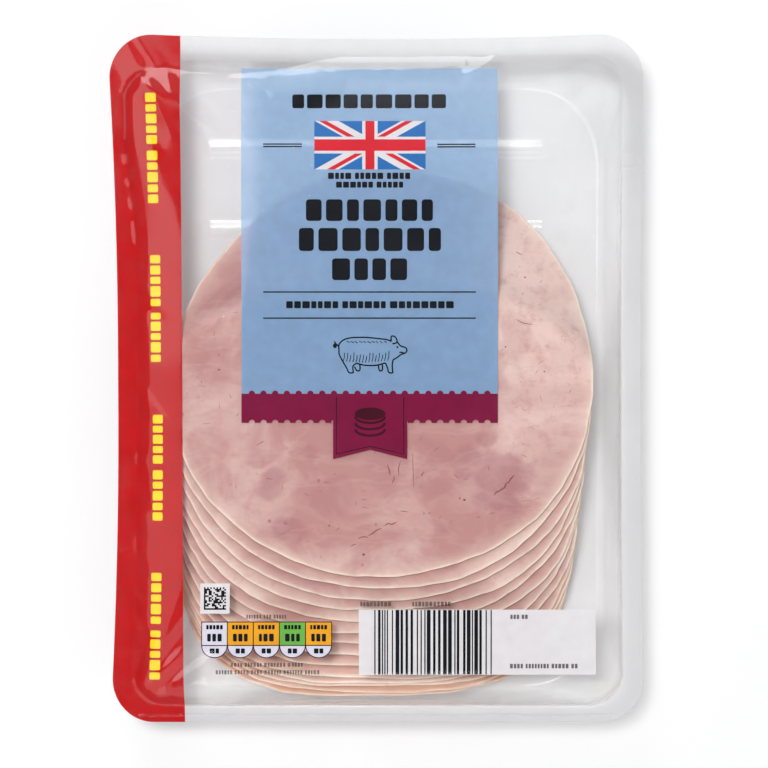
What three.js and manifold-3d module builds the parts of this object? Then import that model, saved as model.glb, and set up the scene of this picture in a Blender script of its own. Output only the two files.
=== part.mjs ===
// A sealed retail pack of sliced ham: fourteen round slices laid shingled in a clear thermoformed
// tray, shut by a clear printed film that is sealed to the tray's flange.
//
// Millimetres. The pack lies on its tray with the film up (+Z). +Y is the way to the top edge of its
// print and +X is to the right of it. The origin is under the middle of the pack, on the surface
// that it lies on.

import * as THREE from "three";
import { mergeVertices } from "three/addons/utils/BufferGeometryUtils.js";
import Module from "manifold-3d";

const wasm = await Module();
wasm.setup();

// ---------------------------------------------------------------- driving dimensions

const pack = { halfWidth: 80, halfLength: 103, cornerRadius: 12.8, flangeTop: 24 };

// The film shrinks a little and pulls the flange in between its corners, and all the way down to
// the lower left one.
const pulledIn = { left: 2.6, lowLeft: 1.1, top: 1.4, right: 0.7, reach: 4 };

const tray = {
  sheet: 0.5,
  lip: 0.8,
  lipRadius: 10,
  footHeight: 2.6,
  footCurve: 1.9,
  floorRadius: 25,
  flange: { left: 5, right: 5.6, top: 6.6, bottom: 4.2 },
  wallRun: { left: 3.8, right: 3.4, top: 4, bottom: 1.8 },
};

// Raised bars that stiffen the floor and keep the meat off it.
const rib = {
  count: 7, pitch: 25, middle: -4, halfLength: 55, halfWidth: 3.7, height: 1.5, slope: 1.1,
};

const film = { thickness: 0.25, sealGap: 0.1, rise: 3.3, riseRun: 5.5 };

const stack = { slices: 14, thickness: 1.65, pitch: 1.75, restGap: 0.1 };

// The uppermost and the lowest slice, seen from above. Each has its own reach from its centre to
// the left, right, top and bottom, and a roundness: 2 is an ellipse and 3 is squarer.
const topSlice = {
  x: 1.5, y: -1.9, left: 64, right: 63.4, far: 66.5, near: 57.7,
  roundFarLeft: 1.86, roundFarRight: 2.2, roundNear: 2,
};
const lowSlice = {
  x: -0.6, y: -37.8, left: 61.2, right: 60.6, far: 63, near: 58.8,
  roundFarLeft: 2, roundFarRight: 2, roundNear: 3.4,
};

// How far each slice shows below the one on it. The lowest are pushed together by the end wall.
const shingle = { open: 3.65, openSlices: 9, closed: 1.35 };

// Past the ends of the slices below it a slice hangs down. The lines along which it bends are
// shallow arcs, set by the radius and the share of it that they follow.
const droop = { line: 5, run: 6, arcRadius: 68, arcShare: 0.5, strips: 10, halfSpan: 66 };

// The end of the stack is pressed up against the end wall, so the slices curl up there.
const curl = { start: -82, end: -97, height: 11, lines: 4 };

const wobble = { size: 0.5, lobes: [3, 5, 7] };
const outlineSteps = 52;

const colours = { tray: 0xd9dcdd, film: 0xe6e8ea, ham: 0xe2b8ae };

// ---------------------------------------------------------------- closed meshes

// A closed mesh from points and triangles.
function meshGeometry(points, triangles) {
  const geometry = new THREE.BufferGeometry();
  geometry.setAttribute("position", new THREE.Float32BufferAttribute(points.flat(), 3));
  geometry.setIndex(triangles.flat());
  return geometry;
}

// Rings of equal length, from the middle of the upper face out over its edge and back to the middle
// of the lower face, joined into one closed skin. The first and the last ring are filled flat.
function skinOfRings(rings) {
  const steps = rings[0].length;
  const triangles = [];
  const flat = (ring) => ring.map(([x, y]) => new THREE.Vector2(x, y));
  for (const [a, b, c] of THREE.ShapeUtils.triangulateShape(flat(rings[0]), []))
    triangles.push([a, b, c]);
  for (let r = 0; r + 1 < rings.length; r++)
    for (let i = 0; i < steps; i++) {
      const j = (i + 1) % steps;
      const [a, b, c, d] = [r * steps + i, (r + 1) * steps + i, (r + 1) * steps + j, r * steps + j];
      triangles.push([a, b, c], [a, c, d]);
    }
  const last = (rings.length - 1) * steps;
  for (const [a, b, c] of THREE.ShapeUtils.triangulateShape(flat(rings.at(-1)), []))
    triangles.push([last + a, last + c, last + b]);
  return meshGeometry(rings.flat(), triangles);
}

// A slab over a grid of places: at(column, row) gives its [x, y, low z, high z].
function slabOnGrid(columns, rows, at) {
  const low = [];
  const high = [];
  for (let c = 0; c < columns; c++)
    for (let r = 0; r < rows; r++) {
      const [x, y, bottom, top] = at(c, r);
      low.push([x, y, bottom]);
      high.push([x, y, top]);
    }
  const count = columns * rows;
  const lowAt = (c, r) => c * rows + r;
  const highAt = (c, r) => count + c * rows + r;
  const triangles = [];
  const quad = (a, b, c, d) => triangles.push([a, b, c], [a, c, d]);
  for (let c = 0; c + 1 < columns; c++)
    for (let r = 0; r + 1 < rows; r++) {
      quad(highAt(c, r), highAt(c + 1, r), highAt(c + 1, r + 1), highAt(c, r + 1));
      quad(lowAt(c, r), lowAt(c, r + 1), lowAt(c + 1, r + 1), lowAt(c + 1, r));
    }
  for (let c = 0; c + 1 < columns; c++) {
    quad(lowAt(c, 0), lowAt(c + 1, 0), highAt(c + 1, 0), highAt(c, 0));
    quad(lowAt(c + 1, rows - 1), lowAt(c, rows - 1), highAt(c, rows - 1), highAt(c + 1, rows - 1));
  }
  for (let r = 0; r + 1 < rows; r++) {
    quad(lowAt(0, r + 1), lowAt(0, r), highAt(0, r), highAt(0, r + 1));
    quad(
      lowAt(columns - 1, r), lowAt(columns - 1, r + 1),
      highAt(columns - 1, r + 1), highAt(columns - 1, r),
    );
  }
  return meshGeometry([...low, ...high], triangles);
}

// ---------------------------------------------------------------- cutting and joining

function solidOf(geometry) {
  const bare = geometry.clone();
  bare.deleteAttribute("normal");
  bare.deleteAttribute("uv");
  const merged = mergeVertices(bare, 1e-4);
  return new wasm.Manifold(
    new wasm.Mesh({
      numProp: 3,
      vertProperties: merged.attributes.position.array,
      triVerts: new Uint32Array(merged.index.array),
    }),
  );
}

function geometryOf(solid) {
  const mesh = solid.getMesh();
  const geometry = new THREE.BufferGeometry();
  geometry.setAttribute("position", new THREE.BufferAttribute(mesh.vertProperties, 3));
  geometry.setIndex(new THREE.BufferAttribute(mesh.triVerts, 1));
  geometry.computeVertexNormals();
  return geometry;
}

// ---------------------------------------------------------------- the pack's outline

// A rounded rectangle, from a box and the radius of its corners, as points that run anticlockwise.
function roundedRing({ left, right, bottom, top, radius }, z) {
  const cornerSteps = 6;
  const sideSteps = { along: 8, across: 6 };
  const corners = [
    { x: right - radius, y: top - radius, start: 0, side: sideSteps.across },
    { x: left + radius, y: top - radius, start: 0.5, side: sideSteps.along },
    { x: left + radius, y: bottom + radius, start: 1, side: sideSteps.across },
    { x: right - radius, y: bottom + radius, start: 1.5, side: sideSteps.along },
  ];
  const arcs = corners.map(({ x, y, start }) =>
    Array.from({ length: cornerSteps + 1 }, (_, i) => {
      const angle = Math.PI * (start + (0.5 * i) / cornerSteps);
      return [x + radius * Math.cos(angle), y + radius * Math.sin(angle)];
    }),
  );
  const ring = [];
  arcs.forEach((arc, c) => {
    ring.push(...arc);
    const [fromX, fromY] = arc.at(-1);
    const [toX, toY] = arcs[(c + 1) % arcs.length][0];
    const steps = corners[c].side;
    for (let i = 1; i < steps; i++)
      ring.push([fromX + ((toX - fromX) * i) / steps, fromY + ((toY - fromY) * i) / steps]);
  });
  return ring.map(([x, y]) => [...drawnIn(x, y), z]);
}

// 1 at the middle of a side, falling to 0 where its corners start.
function bow(distance, half) {
  return Math.max(0, 1 - (distance / (half - pack.cornerRadius)) ** 2);
}

// Moves a place near the pack's edge inwards, as the shrunk film does, most at the middle of a side.
function drawnIn(x, y) {
  const across = x / pack.halfWidth;
  const along = y / pack.halfLength;
  const side = across < 0 ? pulledIn.left : pulledIn.right;
  const lean = across < 0 ? pulledIn.lowLeft * Math.max(0, -along) : 0;
  const pulled = side * bow(y, pack.halfLength) + lean;
  const sideways = pulled * Math.abs(across) ** pulledIn.reach;
  const down = along > 0 ? pulledIn.top * along ** pulledIn.reach * bow(x, pack.halfWidth) : 0;
  return [x - Math.sign(across) * sideways, y - down];
}

// The pack's box, taken in by a distance on each side.
function boxInside({ left, right, top, bottom }, radius) {
  return {
    left: -pack.halfWidth + left,
    right: pack.halfWidth - right,
    bottom: -pack.halfLength + bottom,
    top: pack.halfLength - top,
    radius,
  };
}

const evenly = (distance) => ({
  left: distance, right: distance, top: distance, bottom: distance,
});

// One set of side distances plus a share of another.
function widened(from, by, share) {
  const sum = {};
  for (const side of ["left", "right", "top", "bottom"]) sum[side] = from[side] + by[side] * share;
  return sum;
}

// ---------------------------------------------------------------- tray

// The levels of the tray's sheet from the flange's edge to the floor. across is how much of the
// sheet's thickness lies sideways there and down how much lies below.
function trayLevels() {
  const { flange, wallRun, lip, lipRadius, footHeight, footCurve, floorRadius, sheet } = tray;
  return [
    { inside: evenly(0), radius: pack.cornerRadius, z: pack.flangeTop, across: 0, down: 1 },
    { inside: flange, radius: lipRadius, z: pack.flangeTop, across: 0.3, down: 1 },
    {
      inside: widened(flange, evenly(lip), 1), radius: lipRadius, z: pack.flangeTop - lip,
      across: 1, down: 0.3,
    },
    {
      inside: widened(widened(flange, evenly(lip), 1), wallRun, 1), radius: floorRadius - 2,
      z: sheet + footHeight, across: 1, down: 0.2,
    },
    {
      inside: widened(widened(flange, evenly(lip + 0.3 * footCurve), 1), wallRun, 1.02),
      radius: floorRadius - 1, z: sheet + 0.3 * footHeight, across: 0.7, down: 0.7,
    },
    {
      inside: widened(widened(flange, evenly(lip + footCurve), 1), wallRun, 1.06),
      radius: floorRadius, z: sheet, across: 0, down: 1,
    },
  ];
}

// The tray's sheet, seen as its upper face from the floor to the flange's edge and its lower face
// back again.
function traySheet() {
  const levels = trayLevels();
  const upper = levels.map(({ inside, radius, z }) => roundedRing(boxInside(inside, radius), z));
  const lower = levels.map(({ inside, radius, z, across, down }) =>
    roundedRing(
      boxInside(widened(inside, evenly(-tray.sheet), across), radius + tray.sheet * across),
      z - tray.sheet * down,
    ),
  );
  return skinOfRings([...upper.toReversed(), ...lower]);
}

// A bar with round ends and sloping sides, as rings from its upper face to its lower one.
function ribBar(halfLength, foot, head, low, high) {
  const endSteps = 5;
  const ring = (halfWidth, z) => {
    const points = [];
    for (const end of [0, 1])
      for (let i = 0; i <= endSteps; i++) {
        const angle = Math.PI * (end - 0.5 + i / endSteps);
        const middle = (end ? -1 : 1) * (halfLength - foot);
        points.push([middle + halfWidth * Math.cos(angle), halfWidth * Math.sin(angle), z]);
      }
    return points;
  };
  return skinOfRings([ring(head, high), ring(foot, low)]);
}

function trayGeometry() {
  let solid = solidOf(traySheet());
  const { sheet } = tray;
  const reachPast = 0.2;
  const bar = ribBar(rib.halfLength, rib.halfWidth, rib.halfWidth - rib.slope, sheet / 2,
    sheet + rib.height);
  const groove = ribBar(rib.halfLength - sheet, rib.halfWidth - sheet,
    rib.halfWidth - rib.slope - sheet, -reachPast, rib.height);
  for (let i = 0; i < rib.count; i++) {
    const y = rib.middle + (i - (rib.count - 1) / 2) * rib.pitch;
    solid = solid.add(solidOf(bar).translate([0, y, 0]));
    solid = solid.subtract(solidOf(groove).translate([0, y, 0]));
  }
  return geometryOf(solid);
}

// ---------------------------------------------------------------- lid film

// How far the film stands above the flange at a distance inside the flange's inner edge: the gas
// in the pack and the meat hold it up.
function filmRise(distance) {
  return film.rise * (1 - Math.exp(-Math.max(0, distance) / film.riseRun));
}

function filmGeometry() {
  const sealed = pack.flangeTop + film.sealGap;
  const distances = [0, 2.5, 6, 11, 18, 30];
  const ringAt = (distance, lift) =>
    roundedRing(
      boxInside(widened(tray.flange, evenly(1), distance), tray.lipRadius + distance * 0.6),
      sealed + filmRise(distance) + lift,
    );
  const edge = (lift) => roundedRing(boxInside(evenly(0), pack.cornerRadius), sealed + lift);
  const upper = [edge(film.thickness), ...distances.map((d) => ringAt(d, film.thickness))];
  const lower = [edge(0), ...distances.map((d) => ringAt(d, 0))];
  return skinOfRings([...upper.toReversed(), ...lower]);
}

// ---------------------------------------------------------------- ham slices

// How far the near edge of a slice lies below that of the uppermost one, counted from the top.
function shingleShift(index) {
  const open = Math.min(index, shingle.openSlices);
  return open * shingle.open + (index - open) * shingle.closed;
}

const wholeShift = shingleShift(stack.slices - 1);

// A slice's outline as points that run anticlockwise. Index 0 is the uppermost slice.
function sliceOutline(index) {
  const share = index / (stack.slices - 1);
  const between = (name) => THREE.MathUtils.lerp(topSlice[name], lowSlice[name], share);
  const x = between("x");
  const y = THREE.MathUtils.lerp(topSlice.y, lowSlice.y, shingleShift(index) / wholeShift);
  const points = [];
  for (let i = 0; i < outlineSteps; i++) {
    const angle = (2 * Math.PI * i) / outlineSteps;
    const [cos, sin] = [Math.cos(angle), Math.sin(angle)];
    const across = cos < 0 ? between("left") : between("right");
    const along = sin < 0 ? between("near") : between("far");
    const far = cos < 0 ? between("roundFarLeft") : between("roundFarRight");
    const power = 2 / (sin < 0 ? between("roundNear") : far);
    let uneven = 0;
    for (const lobes of wobble.lobes)
      uneven += (wobble.size / wobble.lobes.length) * Math.sin(lobes * angle + 2.4 * index + lobes);
    points.push([
      x + Math.sign(cos) * across * Math.abs(cos) ** power + uneven * cos,
      y + Math.sign(sin) * along * Math.abs(sin) ** power + uneven * sin,
    ]);
  }
  return points;
}

// The places across the stack where every slice may bend. They are the same for all slices, so
// that neighbours stay exactly apart.
const stripEdges = Array.from(
  { length: droop.strips + 1 },
  (_, i) => droop.halfSpan * ((2 * i) / droop.strips - 1),
);

function arcFall(x) {
  const away = Math.min(Math.abs(x), droop.arcRadius);
  return droop.arcShare * (droop.arcRadius - Math.sqrt(droop.arcRadius ** 2 - away ** 2));
}

// arcFall, straight between the strips' edges.
function stripFall(x) {
  const width = stripEdges[1] - stripEdges[0];
  const strip = THREE.MathUtils.clamp(Math.floor((x - stripEdges[0]) / width), 0, droop.strips - 1);
  const share = (x - stripEdges[strip]) / width;
  return THREE.MathUtils.lerp(arcFall(stripEdges[strip]), arcFall(stripEdges[strip + 1]), share);
}

const outlines = Array.from({ length: stack.slices }, (_, i) => sliceOutline(i));

// How far up the pack each slice reaches, measured along the bending lines.
const reaches = outlines.map((outline) => Math.max(...outline.map(([x, y]) => y + stripFall(x))));

// The bending lines, from where the lowest slice ends upwards.
const firstBend = Math.min(...reaches);
const bendCount = Math.ceil((Math.max(...reaches) - firstBend) / droop.line) + 2;
const bends = Array.from({ length: bendCount }, (_, i) => firstBend + i * droop.line);

// The straight lines across the end that curls up.
const curlLines = Array.from(
  { length: curl.lines + 1 },
  (_, i) => THREE.MathUtils.lerp(curl.end, curl.start, i / curl.lines),
);

// How much of a slice's thickness still lies under the others at a bending line.
function carried(index, bend) {
  const end = bends.find((line) => line >= reaches[index] - 1e-6);
  return THREE.MathUtils.clamp(1 - (bend - end) / droop.run, 0, 1);
}

const restHeight = tray.sheet + rib.height + stack.restGap;

function sliceHeight(index, bend) {
  let layers = 0;
  for (let below = index + 1; below < stack.slices; below++) layers += carried(below, bend);
  return restHeight + stack.pitch * layers;
}

function curledUp(y) {
  return curl.height * (Math.max(0, curl.start - y) / (curl.start - curl.end)) ** 2;
}

function sliceGeometry(index) {
  const slab = slabOnGrid(stripEdges.length, curlLines.length + bends.length, (column, row) => {
    const x = stripEdges[column];
    const bend = bends[row - curlLines.length] ?? -pack.halfLength;
    const y = curlLines[row] ?? bend - arcFall(x);
    const low = sliceHeight(index, bend) + curledUp(y);
    return [x, y, low, low + stack.thickness];
  });
  const outline = new THREE.Shape(outlines[index].map(([x, y]) => new THREE.Vector2(x, y)));
  const column = new THREE.ExtrudeGeometry(outline, { depth: 2 * pack.flangeTop, bevelEnabled: false });
  return geometryOf(solidOf(slab).intersect(solidOf(column)));
}

// ---------------------------------------------------------------- the pack

function named(name, geometry, finish) {
  const mesh = new THREE.Mesh(geometry, new THREE.MeshStandardMaterial(finish));
  mesh.name = name;
  return mesh;
}

const clear = { transparent: true, opacity: 0.35, metalness: 0 };
const hamPack = new THREE.Group();
hamPack.add(named("tray", trayGeometry(), { ...clear, color: colours.tray, roughness: 0.15 }));
hamPack.add(named("lid_film", filmGeometry(), { ...clear, color: colours.film, roughness: 0.1 }));
for (let index = 0; index < stack.slices; index++) {
  const name = `ham_slice_${String(index + 1).padStart(2, "0")}`;
  const finish = { color: colours.ham, roughness: 0.45, metalness: 0 };
  hamPack.add(named(name, sliceGeometry(index), finish));
}

export default hamPack;
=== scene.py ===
# %% [markdown]
# # A sealed pack of sliced ham, seen from straight above
#
# The real thing is a clear tray, pressed from warm plastic sheet, with fourteen thin slices of ham
# laid in it like roof tiles, and a clear film sealed over it. The ink is on the inside of the film,
# so the film's gloss lies over the colours too.
#
# Everything here is worked out in millimetres on the flat film, and turned into metres only when a
# mesh is made. The packed solids give the sizes: this script asks them where they are.

# %% Load the frame
import math
import random

import bmesh
import bpy
import numpy as np
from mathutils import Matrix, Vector
from mathutils.geometry import delaunay_2d_cdt, tessellate_polygon


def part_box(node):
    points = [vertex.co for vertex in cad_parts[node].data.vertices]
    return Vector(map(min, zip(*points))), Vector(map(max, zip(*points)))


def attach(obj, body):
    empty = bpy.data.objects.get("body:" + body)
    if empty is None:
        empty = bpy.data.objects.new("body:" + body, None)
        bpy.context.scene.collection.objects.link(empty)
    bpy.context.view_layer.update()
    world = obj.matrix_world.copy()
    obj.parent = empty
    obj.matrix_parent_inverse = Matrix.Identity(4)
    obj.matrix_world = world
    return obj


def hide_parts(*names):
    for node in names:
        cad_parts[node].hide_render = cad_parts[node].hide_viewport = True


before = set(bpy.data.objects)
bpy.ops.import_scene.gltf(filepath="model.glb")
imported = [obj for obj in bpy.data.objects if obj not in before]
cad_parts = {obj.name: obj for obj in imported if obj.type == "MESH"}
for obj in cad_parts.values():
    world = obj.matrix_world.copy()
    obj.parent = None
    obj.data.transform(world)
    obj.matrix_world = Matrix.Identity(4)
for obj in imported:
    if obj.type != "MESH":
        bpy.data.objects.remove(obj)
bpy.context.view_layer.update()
MM = 0.001
print("frame nodes:", sorted(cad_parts))

# %% Read the pack's sizes from the solids
_, tray_high = (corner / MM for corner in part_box("tray"))
film_low, _ = (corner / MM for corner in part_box("lid_film"))
HALF_WIDTH, HALF_LENGTH = tray_high.x, tray_high.y
FLANGE_TOP = tray_high.z
CORNER_RADIUS = 12.8
SLICE_COUNT = sum(name.startswith("ham_slice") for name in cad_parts)
print(f"pack {2 * HALF_WIDTH:.1f} x {2 * HALF_LENGTH:.1f} mm, flange at {FLANGE_TOP:.1f} mm,",
      f"{SLICE_COUNT} slices")

# %% [markdown]
# ## One helper makes every mesh
#
# A piece is a list of points and faces. It could be built with modifiers on primitives, but film,
# print and meat all follow the same few height formulas, so plain arrays keep them exactly apart.

# %% A mesh piece from points in millimetres
def make_piece(name, points, faces, material, slot, replaced=(), values=None):
    mesh = bpy.data.meshes.new(name)
    mesh.from_pydata((np.asarray(points, float) * MM).tolist(), [], faces)
    mesh.validate()
    for attribute, numbers in (values or {}).items():
        layer = mesh.attributes.new(attribute, "FLOAT", "POINT")
        layer.data.foreach_set("value", np.asarray(numbers, np.float32))
    mesh.shade_smooth()
    mesh.materials.append(material)
    piece = bpy.data.objects.new(name, mesh)
    bpy.context.scene.collection.objects.link(piece)
    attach(piece, "root")
    if replaced:
        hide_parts(*replaced)
    print(f"{name}: {len(mesh.vertices)} points, {len(mesh.polygons)} faces")
    return piece


def grid_faces(rows, columns):
    """Quads between points that stand in rows."""
    return [(r * columns + c, r * columns + c + 1, (r + 1) * columns + c + 1, (r + 1) * columns + c)
            for r in range(rows - 1) for c in range(columns - 1)]


# %% Colours as they read in the picture, turned into light
def light_of(value):
    share = value / 255
    return share / 12.92 if share <= 0.04045 else ((share + 0.055) / 1.055) ** 2.4


def colour(red, green, blue):
    return (light_of(red), light_of(green), light_of(blue), 1.0)


def scaled(paint, share):
    return tuple(min(1.0, part * share) for part in paint[:3]) + (1.0,)


print("mid grey reads as", round(light_of(128), 3), "of white light")

# %% [markdown]
# ## Materials
#
# Each finish is a small node tree. The two clear plastics let most light straight through and mirror
# a little of it, more at a glancing angle. A glass shader would bend the light and leave dark
# shadows under the film, so they are a mix of a see-through and a mirroring shader instead.

# %% A node tree, with short ways to add what every finish needs
class Tree:
    def __init__(self, owner):
        owner.use_nodes = True
        self.nodes, self.links = owner.node_tree.nodes, owner.node_tree.links

    def feed(self, socket, value):
        """Links another node to a socket, or sets a plain number or colour on the socket itself."""
        if isinstance(value, bpy.types.Node):
            value = value.outputs[0]
        if isinstance(value, bpy.types.NodeSocket):
            self.links.new(value, socket)
        else:
            socket.default_value = value

    def add(self, kind, values=None, **settings):
        """A new node: settings are its own switches, and values say what goes into which socket."""
        node = self.nodes.new("ShaderNode" + kind)
        for switch, choice in settings.items():
            setattr(node, switch, choice)
        for name, value in (values or {}).items():
            self.feed(node.inputs[name], value)
        return node

    def carried(self, attribute):
        """A number that the mesh carries at its points."""
        return self.add("Attribute", attribute_name=attribute).outputs["Fac"]

    def noise(self, where, scale, detail=3.0, roughness=0.5, distortion=0.0):
        return self.add("TexNoise", {"Vector": where, "Scale": scale, "Detail": detail,
                                     "Roughness": roughness, "Distortion": distortion}).outputs["Fac"]

    def ramp(self, value, low, high, low_out=0.0, high_out=1.0):
        """Turns the range from low to high softly into another one."""
        sockets = {"Value": value, "From Min": low, "From Max": high,
                   "To Min": low_out, "To Max": high_out}
        return self.add("MapRange", sockets, interpolation_type="SMOOTHSTEP").outputs["Result"]

    def blend(self, share, first, second):
        first_colour, second_colour = 6, 7
        return self.add("Mix", {"Factor": share, first_colour: first, second_colour: second},
                        data_type="RGBA").outputs[2]

    def maths(self, operation, first, second):
        return self.add("Math", {0: first, 1: second}, operation=operation).outputs[0]

    def bump(self, height, strength, distance, below=None):
        node = self.add("Bump", {"Strength": strength, "Distance": distance * MM, "Height": height})
        if below is not None:
            self.feed(node.inputs["Normal"], below)
        return node.outputs["Normal"]

    def mix(self, share, first, second):
        """Two shaders in one, where the share is that of the second."""
        return self.add("MixShader", {"Fac": share, 1: first, 2: second})

    def in_shadow(self):
        return self.add("LightPath").outputs["Is Shadow Ray"]

    def finish(self, shader):
        self.add("OutputMaterial", {"Surface": shader})


def new_material(name):
    """An empty material: the material, its tree, and the place of a point on the object."""
    material = bpy.data.materials.new(name)
    tree = Tree(material)
    tree.nodes.clear()
    return material, tree, tree.add("TexCoord").outputs["Object"]


print("steps of a node tree:", ", ".join(step for step in vars(Tree) if step[0] != "_"))

# %% [markdown]
# A thin sheet has air on both sides, but a mirror share worked out from the back takes it for the
# inside of solid plastic and turns steep light back altogether. Turning the index over for back
# faces puts that right, and the light gets in. For shadows a plain share of the light is enough.
#
# The tray's mesh carries two numbers on its flange, where film and tray are welded: "scatter" makes
# the plastic there more milky, and "seal" makes it shade the floor more, as two bonded layers do.

# %% Clear plastic
PLASTIC_IOR = 1.52


def clear_plastic(name, tint, haze_colour, haze, roughness, ripple, ripple_size, shade_share,
                  sealed=None):
    """sealed gives the haze that is added on the weld, and the share of the light that it lets by."""
    material, tree, place = new_material(name)
    relief = tree.bump(tree.noise(place, ripple_size, 1.0), 0.5, ripple)
    patchy = tree.noise(place, 60.0, 2.0)
    cloudy = tree.ramp(patchy, 0.3, 0.75, haze * 0.7, haze * 1.3)
    shade = scaled(tint, shade_share)
    if sealed:
        more_haze, seal_share = sealed
        cloudy = tree.maths("ADD", cloudy, tree.maths("MULTIPLY", tree.carried("scatter"), more_haze))
        shade = tree.blend(tree.carried("seal"), shade, scaled(shade, seal_share))
    body = tree.mix(cloudy, tree.add("BsdfTransparent", {"Color": tint}),
                    tree.add("BsdfDiffuse", {"Color": haze_colour}))
    uneven_gloss = tree.ramp(patchy, 0.3, 0.7, roughness * 0.7, roughness * 1.5)
    gloss = tree.add("BsdfGlossy", {"Roughness": uneven_gloss, "Normal": relief})
    behind = tree.add("NewGeometry").outputs["Backfacing"]
    index = tree.ramp(behind, 0, 1, PLASTIC_IOR, 1 / PLASTIC_IOR)
    surface = tree.mix(tree.add("Fresnel", {"IOR": index, "Normal": relief}), body, gloss)
    tree.finish(tree.mix(tree.in_shadow(), surface, tree.add("BsdfTransparent", {"Color": shade})))
    return material


lid_plastic = clear_plastic("lid_film_plastic", tint=(0.985, 0.986, 0.988, 1),
                            haze_colour=colour(240, 240, 243), haze=0.006, roughness=0.07,
                            ripple=0.02, ripple_size=300.0, shade_share=0.96)
tray_plastic = clear_plastic("tray_plastic", tint=(0.989, 0.989, 0.99, 1),
                             haze_colour=colour(244, 243, 244), haze=0.05, roughness=0.12,
                             ripple=0.012, ripple_size=160.0, shade_share=0.92, sealed=(0.32, 0.44))
print("clear plastics:", lid_plastic.name, tray_plastic.name)


# %% [markdown]
# ### Ink
#
# Ink on film is a thin, even coat, but never quite flat in tone. The pale blue lets the meat show
# through, so it is mixed with a see-through shader. Its shadow is kept full, or the light that comes
# back up through it would wash it out.

# %% Printing ink, seen through the film
def ink(name, paint, opacity=1.0, mottle=0.05):
    material, tree, place = new_material(name)
    uneven = tree.ramp(tree.noise(place, 160.0, 5.0, 0.65), 0.3, 0.7)
    body = tree.add("BsdfPrincipled", {
        "Base Color": tree.blend(uneven, scaled(paint, 1 - 2 * mottle), paint),
        "Roughness": tree.ramp(tree.noise(place, 700.0), 0.3, 0.7, 0.42, 0.6),
        "Normal": tree.bump(tree.noise(place, 900.0), 0.2, 0.01),
        "Specular IOR Level": 0.05})
    if opacity < 1:
        share = tree.ramp(tree.noise(place, 300.0, 4.0), 0.2, 0.8, opacity - 0.03, opacity + 0.03)
        body = tree.mix(tree.maths("MAXIMUM", share, tree.in_shadow()), tree.add("BsdfTransparent"), body)
    tree.finish(body)
    return material


inks = {
    "red": ink("red_ink", colour(194, 9, 14), 0.98, 0.05),
    "yellow": ink("yellow_ink", colour(255, 220, 36)),
    "blue": ink("pale_blue_ink", colour(146, 184, 224), 0.68, 0.03),
    "plum": ink("plum_ink", colour(128, 16, 62), 0.95, 0.06),
    "wine": ink("wine_ink", colour(66, 8, 30), 0.98),
    "black": ink("black_ink", colour(14, 18, 26)),
    "faint": ink("faint_black_ink", colour(74, 62, 66), 0.72),
    "grey": ink("grey_ink", colour(118, 108, 112), 0.8),
    "flag_blue": ink("flag_blue_ink", colour(44, 112, 182)),
    "flag_red": ink("flag_red_ink", colour(216, 36, 52)),
    "white": ink("white_ink", colour(232, 229, 232), 0.9, 0.02),
    "amber": ink("amber_ink", colour(240, 168, 36)),
    "green": ink("green_ink", colour(112, 184, 78)),
    "lilac": ink("lilac_ink", colour(222, 220, 234), 0.94, 0.02),
}
print(len(inks), "inks")


# %% [markdown]
# ### Ham
#
# Pressed ham is a puzzle of muscle pieces: pale pink, with rounder and darker lean patches, faint
# pale seams between them, fine cracks along the fibres and a few dark specks. A cut face is paler
# right at its rim. The patches and the rim differ from slice to slice, so the mesh carries them as
# numbers at its points, and the nodes add what is finer. The colours are laid over each other like
# coats of paint, each with its own share. One coat is painted shade: each slice is darker just beyond
# the edge of the slice above it, where that edge would throw its shadow.

# %% Ham flesh
FIBRE_TURN, FIBRE_STRETCH = 0.5, (1.0, 2.6, 1.0)


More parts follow.
